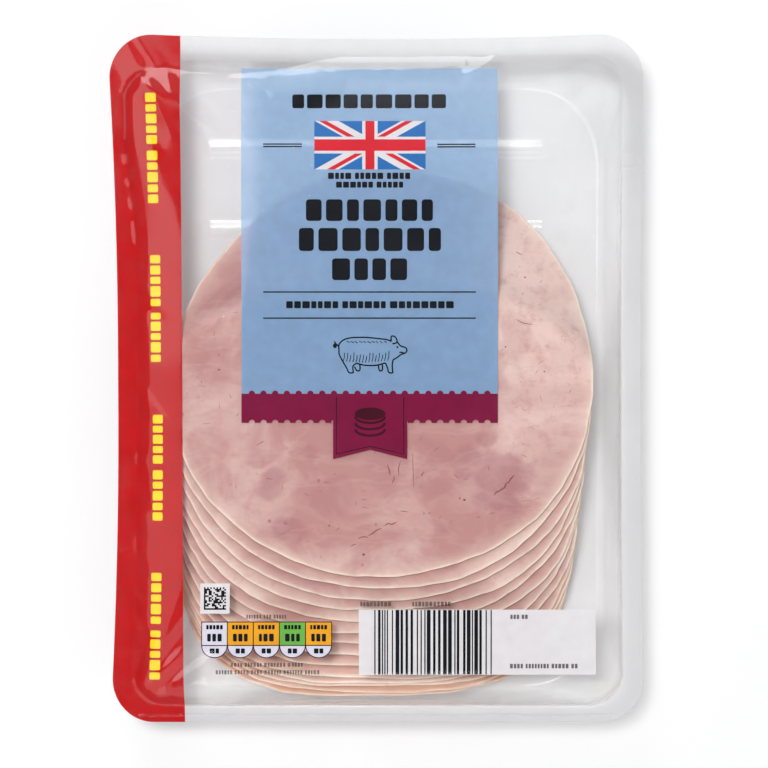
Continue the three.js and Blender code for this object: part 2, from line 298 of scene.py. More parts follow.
def ham_flesh(name):
    material, tree, place = new_material(name)
    grain = tree.add("Mapping", {"Vector": place, "Scale": FIBRE_STRETCH,
                                 "Rotation": (0, 0, FIBRE_TURN)}).outputs["Vector"]

    def contour(texture, half_width, strength):
        """Lines where a noise passes its middle value."""
        away = tree.maths("ABSOLUTE", tree.maths("SUBTRACT", texture, 0.5), 0)
        return tree.ramp(away, 0.0, half_width, strength, 0.0)

    def both(first, second):
        return tree.maths("MULTIPLY", first, second)

    cloud = tree.ramp(tree.noise(place, 48.0, 4.0, 0.6, 0.8), 0.3, 0.7, -0.3, 0.3)
    sparse = tree.ramp(tree.noise(place, 75.0, 1.0), 0.57, 0.64)
    specks = tree.add("TexVoronoi", {"Vector": place, "Scale": 190.0}).outputs["Distance"]
    coats = [
        (tree.ramp(tree.noise(place, 190.0, 5.0, 0.7), 0.45, 0.75, 0, 0.6), (192, 138, 134)),
        (both(tree.carried("lean"), tree.ramp(tree.noise(place, 150.0, 4.0, 0.7), 0.2, 0.6, 0.4, 0.75)),
         (172, 116, 121)),
        (contour(tree.noise(grain, 34.0, 3.0, 0.55, 0.9), 0.05, 0.1), (232, 202, 190)),
        (both(sparse, contour(tree.noise(grain, 70.0, 2.0, 0.6, 0.6), 0.007, 0.3)), (146, 88, 84)),
        (both(sparse, tree.ramp(specks, 0.06, 0.14, 0.6, 0.0)), (160, 84, 84)),
        (tree.carried("peach"), (238, 172, 130)),
        # painted shade: a darker brown-pink coat just beyond the edge of the slice above
        (both(tree.carried("painted_step_shade"), 0.5), (170, 116, 106)),
        (both(tree.carried("rim"), tree.ramp(tree.noise(place, 260.0, 3.0), 0.25, 0.6, 0.7, 1.0)),
         (255, 238, 220)),
    ]
    pale = tree.maths("ADD", cloud, tree.carried("tone"))
    flesh = tree.blend(pale, colour(190, 140, 137), colour(230, 201, 193))
    for share, paint in coats:
        flesh = tree.blend(share, flesh, colour(*paint))
    coarse = tree.bump(tree.noise(place, 95.0, 3.0), 0.6, 0.35)
    tree.finish(tree.add("BsdfPrincipled", {
        "Base Color": flesh,
        "Subsurface Weight": 0.2,
        "Subsurface Radius": (1.0, 0.45, 0.3),
        "Subsurface Scale": 1.8 * MM,
        "IOR": 1.4,
        "Roughness": tree.ramp(tree.noise(place, 240.0, 4.0), 0.3, 0.7, 0.3, 0.52),
        "Normal": tree.bump(tree.noise(grain, 620.0, 5.0, 0.7), 0.45, 0.12, coarse)}))
    return material


ham_material = ham_flesh("ham_flesh")
print("meat:", ham_material.name)

# %% [markdown]
# ## The film's own surface
#
# The print was laid on flat film. So the film's flat plane is used as a map: a place on it is moved
# in where the film has shrunk, and lifted to the height that the film has there. Film and print
# share these two rules, so the print can't come loose from the film.

# %% How the shrunk film pulls its sides in
PULLED_LEFT, PULLED_LOW_LEFT, PULLED_RIGHT, PULLED_TOP, PULL_REACH = 2.6, 1.1, 0.7, 1.4, 4


def bow(distance, half):
    return np.maximum(0, 1 - (distance / (half - CORNER_RADIUS)) ** 2)


def drawn_in(x, y):
    across, along = x / HALF_WIDTH, y / HALF_LENGTH
    side = np.where(across < 0, PULLED_LEFT, PULLED_RIGHT)
    lean = np.where(across < 0, PULLED_LOW_LEFT, 0) * np.maximum(-along, 0)
    sideways = (side * bow(y, HALF_LENGTH) + lean) * np.abs(across) ** PULL_REACH
    down = PULLED_TOP * np.maximum(along, 0) ** PULL_REACH * bow(x, HALF_WIDTH)
    return x - np.sign(across) * sideways, y - down


print("sides drawn in by", PULLED_LEFT, "and", PULLED_RIGHT, "mm, the top by", PULLED_TOP, "mm")

# %% How far a place lies inside a rounded box
FLANGE = dict(left=5.0, right=5.6, top=6.6, bottom=4.2)
LIP_RADIUS = 10.0


def box_inside(margins, more=0.0):
    return (-HALF_WIDTH + margins["left"] + more, HALF_WIDTH - margins["right"] - more,
            -HALF_LENGTH + margins["bottom"] + more, HALF_LENGTH - margins["top"] - more)


def depth_inside(x, y, box, radius):
    left, right, bottom, top = box
    beside = np.abs(x - (left + right) / 2) - (right - left) / 2 + radius
    above = np.abs(y - (bottom + top) / 2) - (top - bottom) / 2 + radius
    outside = np.hypot(np.maximum(beside, 0), np.maximum(above, 0))
    return radius - outside - np.minimum(np.maximum(beside, above), 0)


print("width of the flange on each side:", FLANGE)

# %% [markdown]
# ### Wrinkles
#
# Film that is pulled from its corners folds into straight ridges that fan out from them, and where
# it meets the sealing edge it crimps into short, sharp ones. Noise would give soft blobs instead,
# so each fold is one ridge with tapering ends, and families of them are drawn by seeded loops.

# %% Folds in the film
def fold(x, y, start, end, width, height):
    (ax, ay), (bx, by) = start, end
    length = math.hypot(bx - ax, by - ay)
    ux, uy = (bx - ax) / length, (by - ay) / length
    along = ((x - ax) * ux + (y - ay) * uy) / length
    across = ((y - ay) * ux - (x - ax) * uy) / width
    taper = np.clip(4 * along * (1 - along), 0, 1) ** 0.8
    return height * taper * np.exp(-across ** 2)


print("a fold of 1 mm is", float(fold(0.0, 0.0, (-1, 0), (1, 0), 1, 1)), "mm high in its middle")


# %% Families of folds: a fan from a corner, and crimps along a line
def fan(draw, corner, count, from_angle, to_angle, reach, width, height):
    folds = []
    for i in range(count):
        angle = math.radians(from_angle + (to_angle - from_angle) * (i + draw.uniform(0.1, 0.9)) / count)
        near, far = draw.uniform(0, 5), draw.uniform(*reach)
        start = (corner[0] + near * math.cos(angle), corner[1] + near * math.sin(angle))
        end = (corner[0] + far * math.cos(angle), corner[1] + far * math.sin(angle))
        folds.append((start, end, draw.uniform(*width), draw.uniform(*height) * draw.choice((1, 1, -1))))
    return folds


def crimps(draw, start, end, count, length, lean, width, height):
    folds = []
    for i in range(count):
        share = (i + draw.uniform(0, 1)) / count
        x = start[0] + (end[0] - start[0]) * share
        y = start[1] + (end[1] - start[1]) * share
        angle = math.radians(draw.uniform(*lean))
        reach = draw.uniform(*length)
        far = (x + reach * math.cos(angle), y + reach * math.sin(angle))
        folds.append(((x, y), far, draw.uniform(*width), draw.uniform(*height) * draw.choice((1, -1))))
    return folds


# %% Families of folds at the corners and along the seal
draw = random.Random(14)
SEAL = dict(left=5.4, right=5.6, top=4.4, bottom=4.2)
inner_left, inner_right, inner_bottom, inner_top = box_inside(SEAL)
folds = []
folds += fan(draw, (inner_left, inner_top), 6, -80, -20, (26, 56), (2.0, 3.6), (0.06, 0.18))
folds += fan(draw, (inner_left, inner_bottom), 7, 16, 80, (22, 46), (1.8, 3.2), (0.2, 0.5))
folds += fan(draw, (inner_right, inner_top), 6, -170, -100, (14, 34), (1.4, 2.8), (0.03, 0.08))
folds += fan(draw, (inner_right, inner_bottom), 5, 100, 165, (12, 30), (1.4, 2.8), (0.03, 0.07))
folds += crimps(draw, (inner_left, 40), (inner_left, -70), 9, (12, 26), (-66, -38), (1.4, 2.6),
                (0.05, 0.2))
folds += crimps(draw, (-34, 98.5), (27, 99.5), 10, (4, 9), (-60, -12), (1.0, 2.0), (0.04, 0.16))
folds += crimps(draw, (-20, 98), (24, 98), 6, (4, 8), (-168, -125), (0.9, 1.7), (0.04, 0.14))
folds += crimps(draw, (38, 98.5), (46, 98.5), 4, (3, 6), (-130, -118), (1.0, 1.2), (0.1, 0.2))
folds += crimps(draw, (-46, 93), (-38, 88), 3, (6, 12), (-30, 10), (1.2, 2.0), (0.1, 0.2))
folds += crimps(draw, (-60, inner_bottom), (60, inner_bottom), 22, (3, 9), (20, 160), (0.9, 1.5),
                (0.06, 0.2))
folds += [((37.8, 100.6), (32.6, 94.0), 1.1, 0.5), ((34.2, 95.6), (25.4, 90.4), 1.1, 0.42)]
print(len(folds), "folds")


# %% [markdown]
# ### The film's shape
#
# The film is stuck to the flange, and behind it the slack film stands up over the meat in a short
# curve, like a shallow pillow. How fast it rises decides what it mirrors, so the curve has its own
# length at each side: a slow rise stays dark, and a steep one catches the windows on the left. Two
# broad folds run across the upper left corner, over the seal itself, and grow weaker inside.

# %% The film's height above the surface that the pack lies on
SEAL_HEIGHT = film_low.z + 0.06
CORNER_FOLDS = [((-74.7, 107.7), (-51.6, 73.0), 3.1, 0.76), ((-79.8, 107.0), (-50.0, 57.8), 3.0, 0.76)]
CORNER_FADE, FADE_FROM, FADE_TO = 0.6, 8, 20
FILM_RISE, RISE_RUN = 3.3, 5.5
CORNER_RUN = 13.0
UPPER_LEFT_RUN = 1.9
WIDER_SEAL, NARROWER_SEAL = 4.6, 3.0
SLACK = [(0.055, 0.11, 0.05), (-0.07, 0.06, 0.045), (0.03, -0.13, 0.05), (0.16, 0.02, 0.03)]


def eased(value, low, high):
    share = np.clip((value - low) / (high - low), 0, 1)
    return share * share * (3 - 2 * share)


def rise_run(x, y):
    """Over what length the film rises: long near the upper corners, short at the upper left side."""
    off_middle = np.maximum(np.clip((-x - 9) / 30, 0, 1), np.clip((x - 26) / 17, 0, 1))
    along_top = RISE_RUN + (CORNER_RUN - RISE_RUN) * off_middle
    along_side = np.where(x < 0, RISE_RUN + (UPPER_LEFT_RUN - RISE_RUN) * eased(y, 36, 80), RISE_RUN)
    from_side, from_top = HALF_WIDTH - np.abs(x), HALF_LENGTH - y
    nearer_top = eased(from_side - from_top, -6, 10)
    return along_side + (along_top - along_side) * nearer_top


def film_height(x, y):
    """The seal is wider at the upper left of the top edge, and narrower up the left side."""
    shift = WIDER_SEAL * eased(-x, 6, 38) * eased(y, 30, 92)
    aside = NARROWER_SEAL * eased(-x, 30, 60) * eased(y, 38, 75)
    inward = depth_inside(x + aside, y + shift, box_inside(SEAL, 1.0), LIP_RADIUS)
    free = np.clip(inward / 4, 0, 1)
    height = SEAL_HEIGHT + FILM_RISE * (1 - np.exp(-np.maximum(inward, 0) / rise_run(x, y)))
    for i, (along_x, along_y, size) in enumerate(SLACK):
        height = height + free * size * np.sin(along_x * x + along_y * y + 1.7 * i)
    for start, end, width, size in folds:
        height = height + np.clip((inward + 1.5) / 3, 0, 1) * fold(x, y, start, end, width, size)
    kept = 1 - CORNER_FADE * eased(inward, FADE_FROM, FADE_TO)
    for start, end, width, size in CORNER_FOLDS:
        height = height + kept * fold(x, y, start, end, width, size)
    return height


def on_film(x, y, below=0.0):
    x, y = np.asarray(x, float), np.asarray(y, float)
    moved_x, moved_y = drawn_in(x, y)
    return np.stack([moved_x, moved_y, film_height(x, y) - below], axis=-1)


print("the film's middle is at", [round(float(part), 2) for part in on_film(0, 0)], "mm")

# %% The film as one fine sheet
FILM_STEP = 0.8
FILM_CRISP_FROM = math.radians(20)


def rounded_rows(step):
    """Rows of the pack's outline: each gives its y and how far it reaches to the left and right."""
    straight = HALF_LENGTH - CORNER_RADIUS
    arc_steps = math.ceil(CORNER_RADIUS * math.pi / 2 / step)
    arc = [(straight + CORNER_RADIUS * math.sin(a), HALF_WIDTH - CORNER_RADIUS * (1 - math.cos(a)))
           for a in np.linspace(0, math.pi / 2, arc_steps + 1)[1:]]
    middle = [(y, HALF_WIDTH) for y in np.linspace(-straight, straight, round(2 * straight / step))]
    return [(-y, reach) for y, reach in reversed(arc)] + middle + arc


def film_sheet():
    rows = rounded_rows(FILM_STEP)
    columns = round(2 * HALF_WIDTH / FILM_STEP) + 1
    spread = np.linspace(-1, 1, columns)
    x = np.concatenate([spread * reach for _, reach in rows])
    y = np.repeat([y for y, _ in rows], columns)
    return on_film(x, y), grid_faces(len(rows), columns)


film_points, film_faces = film_sheet()
film = make_piece("lid_film_sheet", film_points, film_faces, lid_plastic, "clear_film", ("lid_film",))
film.data.set_sharp_from_angle(angle=FILM_CRISP_FROM)
print(f"film from {film_points[:, 2].min():.2f} to {film_points[:, 2].max():.2f} mm high")

# %% [markdown]
# The hot sealing bar squeezes out a lumpy bead of plastic along the near edge. Its section is a low
# roof, and one side of the roof always catches the light as a thin, broken line. The film's own mesh
# is too coarse for it, so it is a narrow strip of its own.

# %% The bead of sealing along the near edge
BEAD_Y, BEAD_HALF_WIDTH, BEAD_HALF_LENGTH, BEAD_STEP = -100.9, 0.5, 72.0, 0.7
BEAD_LIFT, BEAD_LUMPS = 0.03, (0.1, 0.26)
BEAD_CRISP_FROM = math.radians(8)


def sealing_bead(draw):
    x = np.arange(-BEAD_HALF_LENGTH, BEAD_HALF_LENGTH, BEAD_STEP)
    lumps = np.array([draw.uniform(*BEAD_LUMPS) for _ in x])
    lumps = np.convolve(lumps, [0.25, 0.5, 0.25], mode="same")
    sway = 0.12 * np.sin(0.21 * x) + 0.08 * np.sin(0.9 * x + 1.3)
    rows = []
    for across, share in ((-1, 0.0), (0, 1.0), (1, 0.0)):
        row = on_film(x, BEAD_Y + sway + across * BEAD_HALF_WIDTH)
        row[:, 2] += BEAD_LIFT + lumps * share
        rows.append(row)
    return np.concatenate(rows), grid_faces(len(rows), len(x))


bead = make_piece("lid_seal_bead", *sealing_bead(random.Random(5)), lid_plastic, "clear_film")
bead.data.set_sharp_from_angle(angle=BEAD_CRISP_FROM)

# %% [markdown]
# ## The tray
#
# Its sheet is followed in rings: along the flange, over a small lip, down the sloping wall and round
# the foot on to the floor. The floor's raised bars are cut into it as rounded holes, whose edges go
# up to a flat top. An image of the bars would look flat from the side, so they are real relief.

# %% Rings of the tray's outline
SHEET = 0.5
LIP, FOOT_HEIGHT, FOOT_CURVE, FOOT_SPREAD = 0.8, 2.6, 1.9, 0.06
FOOT_RADIUS, FLOOR_RADIUS = 23.0, 25.0
WALL_RUN = dict(left=3.8, right=3.4, top=4.0, bottom=1.8)
CORNER_STEPS, LONG_STEPS, SHORT_STEPS = 14, 30, 24
LIP_STEPS, WALL_STEPS, FOOT_STEPS = 4, 5, 6


def rounded_ring(box, radius, z):
    left, right, bottom, top = box
    corners = [(right - radius, top - radius, 0, SHORT_STEPS),
               (left + radius, top - radius, 1, LONG_STEPS),
               (left + radius, bottom + radius, 2, SHORT_STEPS),
               (right - radius, bottom + radius, 3, LONG_STEPS)]
    arcs = []
    for x, y, quarter, _ in corners:
        angles = math.pi / 2 * (quarter + np.arange(CORNER_STEPS + 1) / CORNER_STEPS)
        arcs.append(np.stack([x + radius * np.cos(angles), y + radius * np.sin(angles)], axis=-1))
    ring = []
    for i, arc in enumerate(arcs):
        share = np.arange(1, corners[i][3])[:, None] / corners[i][3]
        ring += [arc, arc[-1] + (arcs[(i + 1) % 4][0] - arc[-1]) * share]
    x, y = drawn_in(*np.concatenate(ring).T)
    return np.stack([x, y, np.full_like(x, z)], axis=-1)


def margins(more, walls=0.0):
    return {side: FLANGE[side] + more + WALL_RUN[side] * walls for side in FLANGE}


print("a ring has", len(rounded_ring(box_inside(margins(0)), LIP_RADIUS, 0)), "points")

# %% The sheet's path from the flange's edge to the floor
def tray_levels():
    """(margins, corner radius, height, share of the sheet that lies sideways, share below)."""
    levels = [(dict.fromkeys(FLANGE, 0.0), CORNER_RADIUS, FLANGE_TOP, 0.0, 1.0)]
    levels.append((margins(-1.5), LIP_RADIUS + 1, FLANGE_TOP, 0.0, 1.0))
    for share in np.linspace(0, 1, LIP_STEPS + 1):
        turn = share * math.pi / 2
        levels.append((margins(LIP * math.sin(turn)), LIP_RADIUS, FLANGE_TOP - LIP * (1 - math.cos(turn)),
                       math.sin(turn), math.cos(turn)))
    foot_top = SHEET + FOOT_HEIGHT
    for share in np.linspace(0, 1, WALL_STEPS + 1)[1:]:
        radius = LIP_RADIUS + (FOOT_RADIUS - LIP_RADIUS) * share
        height = FLANGE_TOP - LIP + (foot_top - FLANGE_TOP + LIP) * share
        levels.append((margins(LIP, share), radius, height, 1.0, 0.0))
    for share in np.linspace(0, 1, FOOT_STEPS + 1)[1:]:
        turn = share * math.pi / 2
        radius = FOOT_RADIUS + (FLOOR_RADIUS - FOOT_RADIUS) * share
        levels.append((margins(LIP + FOOT_CURVE * (1 - math.cos(turn)), 1 + FOOT_SPREAD * share), radius,
                       foot_top - FOOT_HEIGHT * math.sin(turn), math.cos(turn), math.sin(turn)))
    return levels


print(len(tray_levels()), "rings from the flange's edge to the floor")


# %% A raised floor bar as rings from its foot to its crest
RIB_COUNT, RIB_PITCH, RIB_MIDDLE = 7, 25.0, -4.0
RIB_HALF_LENGTH, RIB_HALF_WIDTH, RIB_HEIGHT = 55.0, 3.7, 1.5
RIB_END_STEPS, RIB_RINGS, RIB_CREST = 15, 12, 0.04


def bar_ring(y, half_width, z):
    turn = np.concatenate([np.linspace(-90, 90, RIB_END_STEPS), np.linspace(90, 270, RIB_END_STEPS)])
    side = np.repeat([1, -1], RIB_END_STEPS)
    reach = RIB_HALF_LENGTH - RIB_HALF_WIDTH
    x = side * reach + half_width * np.cos(np.radians(turn))
    return np.stack([x, y + half_width * np.sin(np.radians(turn)), np.full_like(x, z)], axis=-1)


def bar_rings(y, floor):
    rings = []
    for share in np.linspace(1, RIB_CREST, RIB_RINGS):
        up = RIB_HEIGHT * (0.5 + 0.5 * math.cos(math.pi * share))
        rings.append(bar_ring(y, RIB_HALF_WIDTH * share, floor + up))
    return rings


print(RIB_COUNT, "floor bars,", RIB_PITCH, "mm apart and", RIB_HEIGHT, "mm high")


# %% Both faces of the tray's sheet, joined at the flange's edge
def joined_rings(count, first, second, turned):
    quads = []
    for i in range(count):
        j = (i + 1) % count
        quad = (first + i, first + j, second + j, second + i)
        quads.append(quad[::-1] if turned else quad)
    return quads


print("two rings of four are joined by", len(joined_rings(4, 0, 4, False)), "quads")


# %% One face of the sheet: its rings, then a floor with holes, then the bars that close them
def tray_face(points, faces, rings, floor, turned):
    """Adds one face of the sheet: the rings, the floor and its bars. Gives where its first ring is."""
    start = sum(len(block) for block in points)
    count = len(rings[0])
    points.extend(rings)
    for level in range(len(rings) - 1):
        faces += joined_rings(count, start + level * count, start + (level + 1) * count, turned)
    floor_start = start + (len(rings) - 1) * count
    loops, index = [rings[-1]], list(range(floor_start, floor_start + count))
    for i in range(RIB_COUNT):
        y = RIB_MIDDLE + (i - (RIB_COUNT - 1) / 2) * RIB_PITCH
        bars = bar_rings(y, floor)
        bar_start = sum(len(block) for block in points)
        size = len(bars[0])
        points.extend(bars)
        for level in range(len(bars) - 1):
            faces += joined_rings(size, bar_start + level * size, bar_start + (level + 1) * size, turned)
        top = list(range(bar_start + (len(bars) - 1) * size, bar_start + len(bars) * size))
        faces.append(tuple(top[::-1] if turned else top))
        loops.append(bars[0][::-1])
        index += list(range(bar_start, bar_start + size))[::-1]
    flat = [[Vector((x, y, 0)) for x, y, _ in loop] for loop in loops]
    for triangle in tessellate_polygon(flat):
        faces.append(tuple(index[corner] for corner in triangle))
    return start, count


# %% The tray's shell, and how much of it is welded to the film
def tray_mesh():
    points, faces = [], []
    levels = tray_levels()
    upper = [rounded_ring(box_inside(m), radius, z) for m, radius, z, _, _ in levels]
    lower = [rounded_ring(box_inside(m, -SHEET * across), radius + SHEET * across, z - SHEET * down)
             for m, radius, z, across, down in levels]
    upper_start, count = tray_face(points, faces, upper, SHEET, False)
    lower_start, _ = tray_face(points, faces, lower, 0.0, True)
    faces += joined_rings(count, upper_start, lower_start, True)
    return np.concatenate(points), faces


tray_points, tray_faces = tray_mesh()
WELD_DEPTH, WELD_FADE = 1.4, 0.6
CLEARER_AT_TOP, CLEARER_FROM, CLEARER_TO = 0.8, 40, 92
on_flange = np.clip((tray_points[:, 2] - FLANGE_TOP + WELD_DEPTH) / WELD_FADE, 0, 1)
scatter = on_flange * (1 - CLEARER_AT_TOP * eased(tray_points[:, 1], CLEARER_FROM, CLEARER_TO))
tray = make_piece("tray_shell", tray_points, tray_faces, tray_plastic, "clear_tray", ("tray",),
                  {"seal": on_flange, "scatter": scatter})

# %% Face the tray's skin outwards, and keep the flange's edge crisp
CRISP_FROM = math.radians(38)
skin = bmesh.new()
skin.from_mesh(tray.data)
bmesh.ops.recalc_face_normals(skin, faces=skin.faces)
open_edges = sum(not edge.is_manifold for edge in skin.edges)
skin.to_mesh(tray.data)
skin.free()
tray.data.set_sharp_from_angle(angle=CRISP_FROM)
print("open edges in the tray:", open_edges)

# %% [markdown]
# ## The slices
#
# Each slice is a thin disc with a soft, ragged edge. All of them bend along the same lines where the
# ones below end, so they rest on each other with a hair's breadth between them, and curl up together
# where they are pressed against the end wall. A cloth simulation could drape them, but meat this
# thin simply follows what is under it.

# %% Outlines of the slices
TOP_SLICE = dict(x=1.5, y=-1.9, left=64.0, right=63.4, far=66.5, near=57.7,
                 far_left=1.86, far_right=2.2, round_near=2.0)
LOW_SLICE = dict(x=-0.6, y=-37.8, left=61.2, right=60.6, far=63.0, near=58.8,
                 far_left=2.0, far_right=2.0, round_near=3.4)
OPEN_STEP, OPEN_SLICES, CLOSED_STEP = 3.65, 9, 1.35
WOBBLE, WOBBLE_LOBES = 0.5, (3, 5, 7)


def shingle_shift(index):
    opened = min(index, OPEN_SLICES)
    return opened * OPEN_STEP + (index - opened) * CLOSED_STEP


def slice_outline(index, angles):
    share = index / (SLICE_COUNT - 1)
    place = shingle_shift(index) / shingle_shift(SLICE_COUNT - 1)
    size = {k: TOP_SLICE[k] + (LOW_SLICE[k] - TOP_SLICE[k]) * share for k in TOP_SLICE}
    centre = (size["x"], TOP_SLICE["y"] + (LOW_SLICE["y"] - TOP_SLICE["y"]) * place)
    cos, sin = np.cos(angles), np.sin(angles)
    across = np.where(cos < 0, size["left"], size["right"])
    along = np.where(sin < 0, size["near"], size["far"])
    far_power = np.where(cos < 0, size["far_left"], size["far_right"])
    power = 2 / np.where(sin < 0, size["round_near"], far_power)
    uneven = sum(WOBBLE / len(WOBBLE_LOBES) * np.sin(lobes * angles + 2.4 * index + lobes)
                 for lobes in WOBBLE_LOBES)
    ragged = random.Random(100 + index)
    for lobes in (17, 26, 39, 61):
        uneven = uneven + 0.55 / lobes ** 0.6 * np.sin(lobes * angles + ragged.uniform(0, 6.28))
    x = centre[0] + np.sign(cos) * across * np.abs(cos) ** power + uneven * cos
    y = centre[1] + np.sign(sin) * along * np.abs(sin) ** power + uneven * sin
    return centre, x, y


print("the lowest slice lies", round(TOP_SLICE["y"] - LOW_SLICE["y"], 1), "mm further down the tray")

# %% How high each slice lies
THICKNESS, PITCH, REST_HEIGHT = 1.65, 1.75, SHEET + RIB_HEIGHT + 0.1
BEND_RADIUS, BEND_SHARE, BEND_RUN = 68.0, 0.5, 9.0
CURL_START, CURL_END, CURL_HEIGHT = -82.0, -97.0, 11.0


def bend_line(x, y):
    away = np.minimum(np.abs(x), BEND_RADIUS)
    return y + BEND_SHARE * (BEND_RADIUS - np.sqrt(BEND_RADIUS ** 2 - away ** 2))


outline_angles = np.linspace(0, 2 * math.pi, 180, endpoint=False)
slice_reach = [bend_line(*slice_outline(i, outline_angles)[1:]).max() for i in range(SLICE_COUNT)]


def layers_below(index, x, y):
    line = bend_line(x, y)
    layers = np.zeros_like(line)
    for below in range(index + 1, SLICE_COUNT):
        layers += eased(1 - (line - slice_reach[below]) / BEND_RUN, 0, 1)
    return layers


def slice_floor(index, x, y):
    layers = layers_below(index, x, y)
    sway = (0.16 * np.sin(0.09 * x + 0.05 * y) + 0.12 * np.sin(0.14 * y - 0.06 * x + 2)
            + 0.07 * np.sin(0.31 * x + 0.2 * y))
    curl = CURL_HEIGHT * (np.maximum(0, CURL_START - y) / (CURL_START - CURL_END)) ** 2
    return REST_HEIGHT + PITCH * layers + sway * layers / SLICE_COUNT + curl


print("top slice rests at", round(float(slice_floor(0, np.zeros(1), np.zeros(1))[0]), 2), "mm")

# %% Lean patches and pale regions, as numbers at the points of a slice
TOP_LEAN = [(26.2, -24.5, 5.2, 5.0, 0.75), (38.0, -29.2, 9.0, 6.6, 0.85),
            (36.5, -37.3, 7.4, 3.8, 0.8), (-30.6, -32.5, 4.2, 4.8, 0.75),
            (-26.8, -45.4, 5.2, 4.0, 0.75), (-12.5, -35.8, 7.0, 6.4, 0.45),
            (-34.8, -24.4, 4.4, 2.5, 0.6), (-20.5, -21.1, 2.6, 2.2, 0.55),
            (33.5, -18.8, 3.6, 2.4, 0.6), (17.0, -23.0, 6.0, 5.0, 0.5),
            (2.6, -26.8, 6.6, 5.4, 0.4), (16.8, -32.5, 6.4, 3.6, 0.4),
            (20.0, -44.0, 2.0, 1.4, 0.5), (41.0, 12.0, 4.5, 8.0, 0.4),
            (36.0, 2.0, 3.6, 7.0, 0.45), (-38.0, 26.0, 8.0, 7.0, 0.4),
            (-48.0, 4.0, 5.0, 8.0, 0.3), (4.0, 40.0, 11.0, 8.0, 0.5),
            (-16.0, 20.0, 10.0, 8.0, 0.5), (18.0, 14.0, 9.0, 8.0, 0.45)]
TOP_TONE = [(50.0, 22.0, 24.0, 46.0, 1.0), (-45.0, -20.0, 16.0, 30.0, 0.3),
            (-30.0, 34.0, 20.0, 22.0, 0.2), (0.0, -56.0, 40.0, 6.0, 0.35),
            (46.0, 36.0, 14.0, 24.0, 1.3)]
PATCH_REACH = 60
LEAN_PATCHES = dict(count=36, size=(3, 9), strength=(0.3, 0.9))
TONE_PATCHES = dict(count=14, size=(9, 22), strength=(0.3, 1.0))


def patchiness(x, y, patches, edge):
    """The strongest of some oval patches with wavy outlines at each place; edge is how soft they are."""
    wavy_x = x + 1.1 * np.sin(0.33 * y + 0.4) + 0.5 * np.sin(0.9 * y + 0.5 * x)
    wavy_y = y + 1.0 * np.sin(0.29 * x + 1.1) + 0.5 * np.sin(0.8 * x - 0.4 * y)
    strongest = np.zeros_like(x)
    for px, py, half_x, half_y, strength in patches:
        inside = 1 - np.hypot((wavy_x - px) / half_x, (wavy_y - py) / half_y)
        strongest = np.maximum(strongest, strength * eased(inside / edge + 0.5, 0, 1))
    return strongest


def patches_of(index, centre):
    """The uppermost slice has placed patches, each as (x, y, half x, half y, strength)."""
    if index == 0:
        return TOP_LEAN, TOP_TONE
    draw = random.Random(40 + index)

    def scattered(count, size, strength):
        return [(centre[0] + draw.uniform(-PATCH_REACH, PATCH_REACH),
                 centre[1] + draw.uniform(-PATCH_REACH, PATCH_REACH),
                 draw.uniform(*size), draw.uniform(*size), draw.uniform(*strength))
                for _ in range(count)]

    return scattered(**LEAN_PATCHES), scattered(**TONE_PATCHES)


print(len(TOP_LEAN), "lean patches and", len(TOP_TONE), "pale regions on the uppermost slice")

# %% A slice as rings from the middle of its face over its edge to the middle of its underside
EDGE_TAPER, EDGE_FALL, EDGE_ROUND = 1.2, 0.14, 0.1
RIM_WIDTH, PALE_WIDTH, PALE_SHARE = 0.62, 2.6, 0.3
PEACH, PEACH_FROM = 1.0, 8
# How far the painted shade below the edge of the slice above reaches, in mm
PAINTED_SHADE_WIDTH = 1.5
LOWER_TONE = 0.2


def paleness(inset):
    """A cream line right at the rim, and a faint paler border inside it."""
    line, border = (math.exp(-(inset / width) ** 2) for width in (RIM_WIDTH, PALE_WIDTH))
    return (1 - PALE_SHARE) * line + PALE_SHARE * border


def beyond_slice_above(index, x, y, angles):
    """How far places lie outside the outline of the slice above."""
    centre, edge_x, edge_y = slice_outline(index - 1, angles)
    turn = np.arctan2(y - centre[1], x - centre[0]) % (2 * math.pi)
    edge_turn = np.arctan2(edge_y - centre[1], edge_x - centre[0]) % (2 * math.pi)
    edge_reach = np.hypot(edge_x - centre[0], edge_y - centre[1])
    reach = np.interp(turn, edge_turn, edge_reach, period=2 * math.pi)
    return np.hypot(x - centre[0], y - centre[1]) - reach


print("paleness at 0, 1 and 3 mm from the rim:", [round(paleness(inset), 2) for inset in (0, 1, 3)])

# %% A slice in section
TOP_RINGS, OTHER_RINGS, BORDER_STEPS, EDGE_STEPS = 56, 30, 9, 9
RING_CROWDING = 1.5


def slice_section(rings, widest):
    """From the middle of the face to that of the underside: how far in, how high, how pale."""
    shares = [(1 - k / rings) ** RING_CROWDING for k in range(1, rings + 1)]
    middle = (1 - EDGE_FALL) / 2
    rows = []
    for share in shares:
        inset = EDGE_TAPER + (widest - EDGE_TAPER) * share
        rows.append((inset, 1.0, paleness(inset)))
    for share in np.linspace(0, 1, BORDER_STEPS)[1:-1]:
        inset = EDGE_TAPER * (1 - share)
        rows.append((inset, 1 - EDGE_FALL * share ** 2, paleness(inset)))
    for turn in np.linspace(math.pi / 2, -math.pi / 2, EDGE_STEPS):
        up = math.sin(turn)
        rows.append((EDGE_ROUND * (1 - math.cos(turn)), middle + middle * up, 0.5 * max(0, up)))
    for share in reversed(shares[:-1]):
        rows.append((EDGE_ROUND + (widest - EDGE_ROUND) * share, 0.0, 0.0))
    return rows


print(len(slice_section(TOP_RINGS, TOP_SLICE["near"])), "rings make the uppermost slice")

# %% The points of a slice, and the numbers that they carry
SLICE_STEPS, RING_REACH = 240, 0.985
LEAN_EDGE, TONE_EDGE = 0.34, 1.2
PEACH_WIDTH, PEACH_RUN = 5, 30


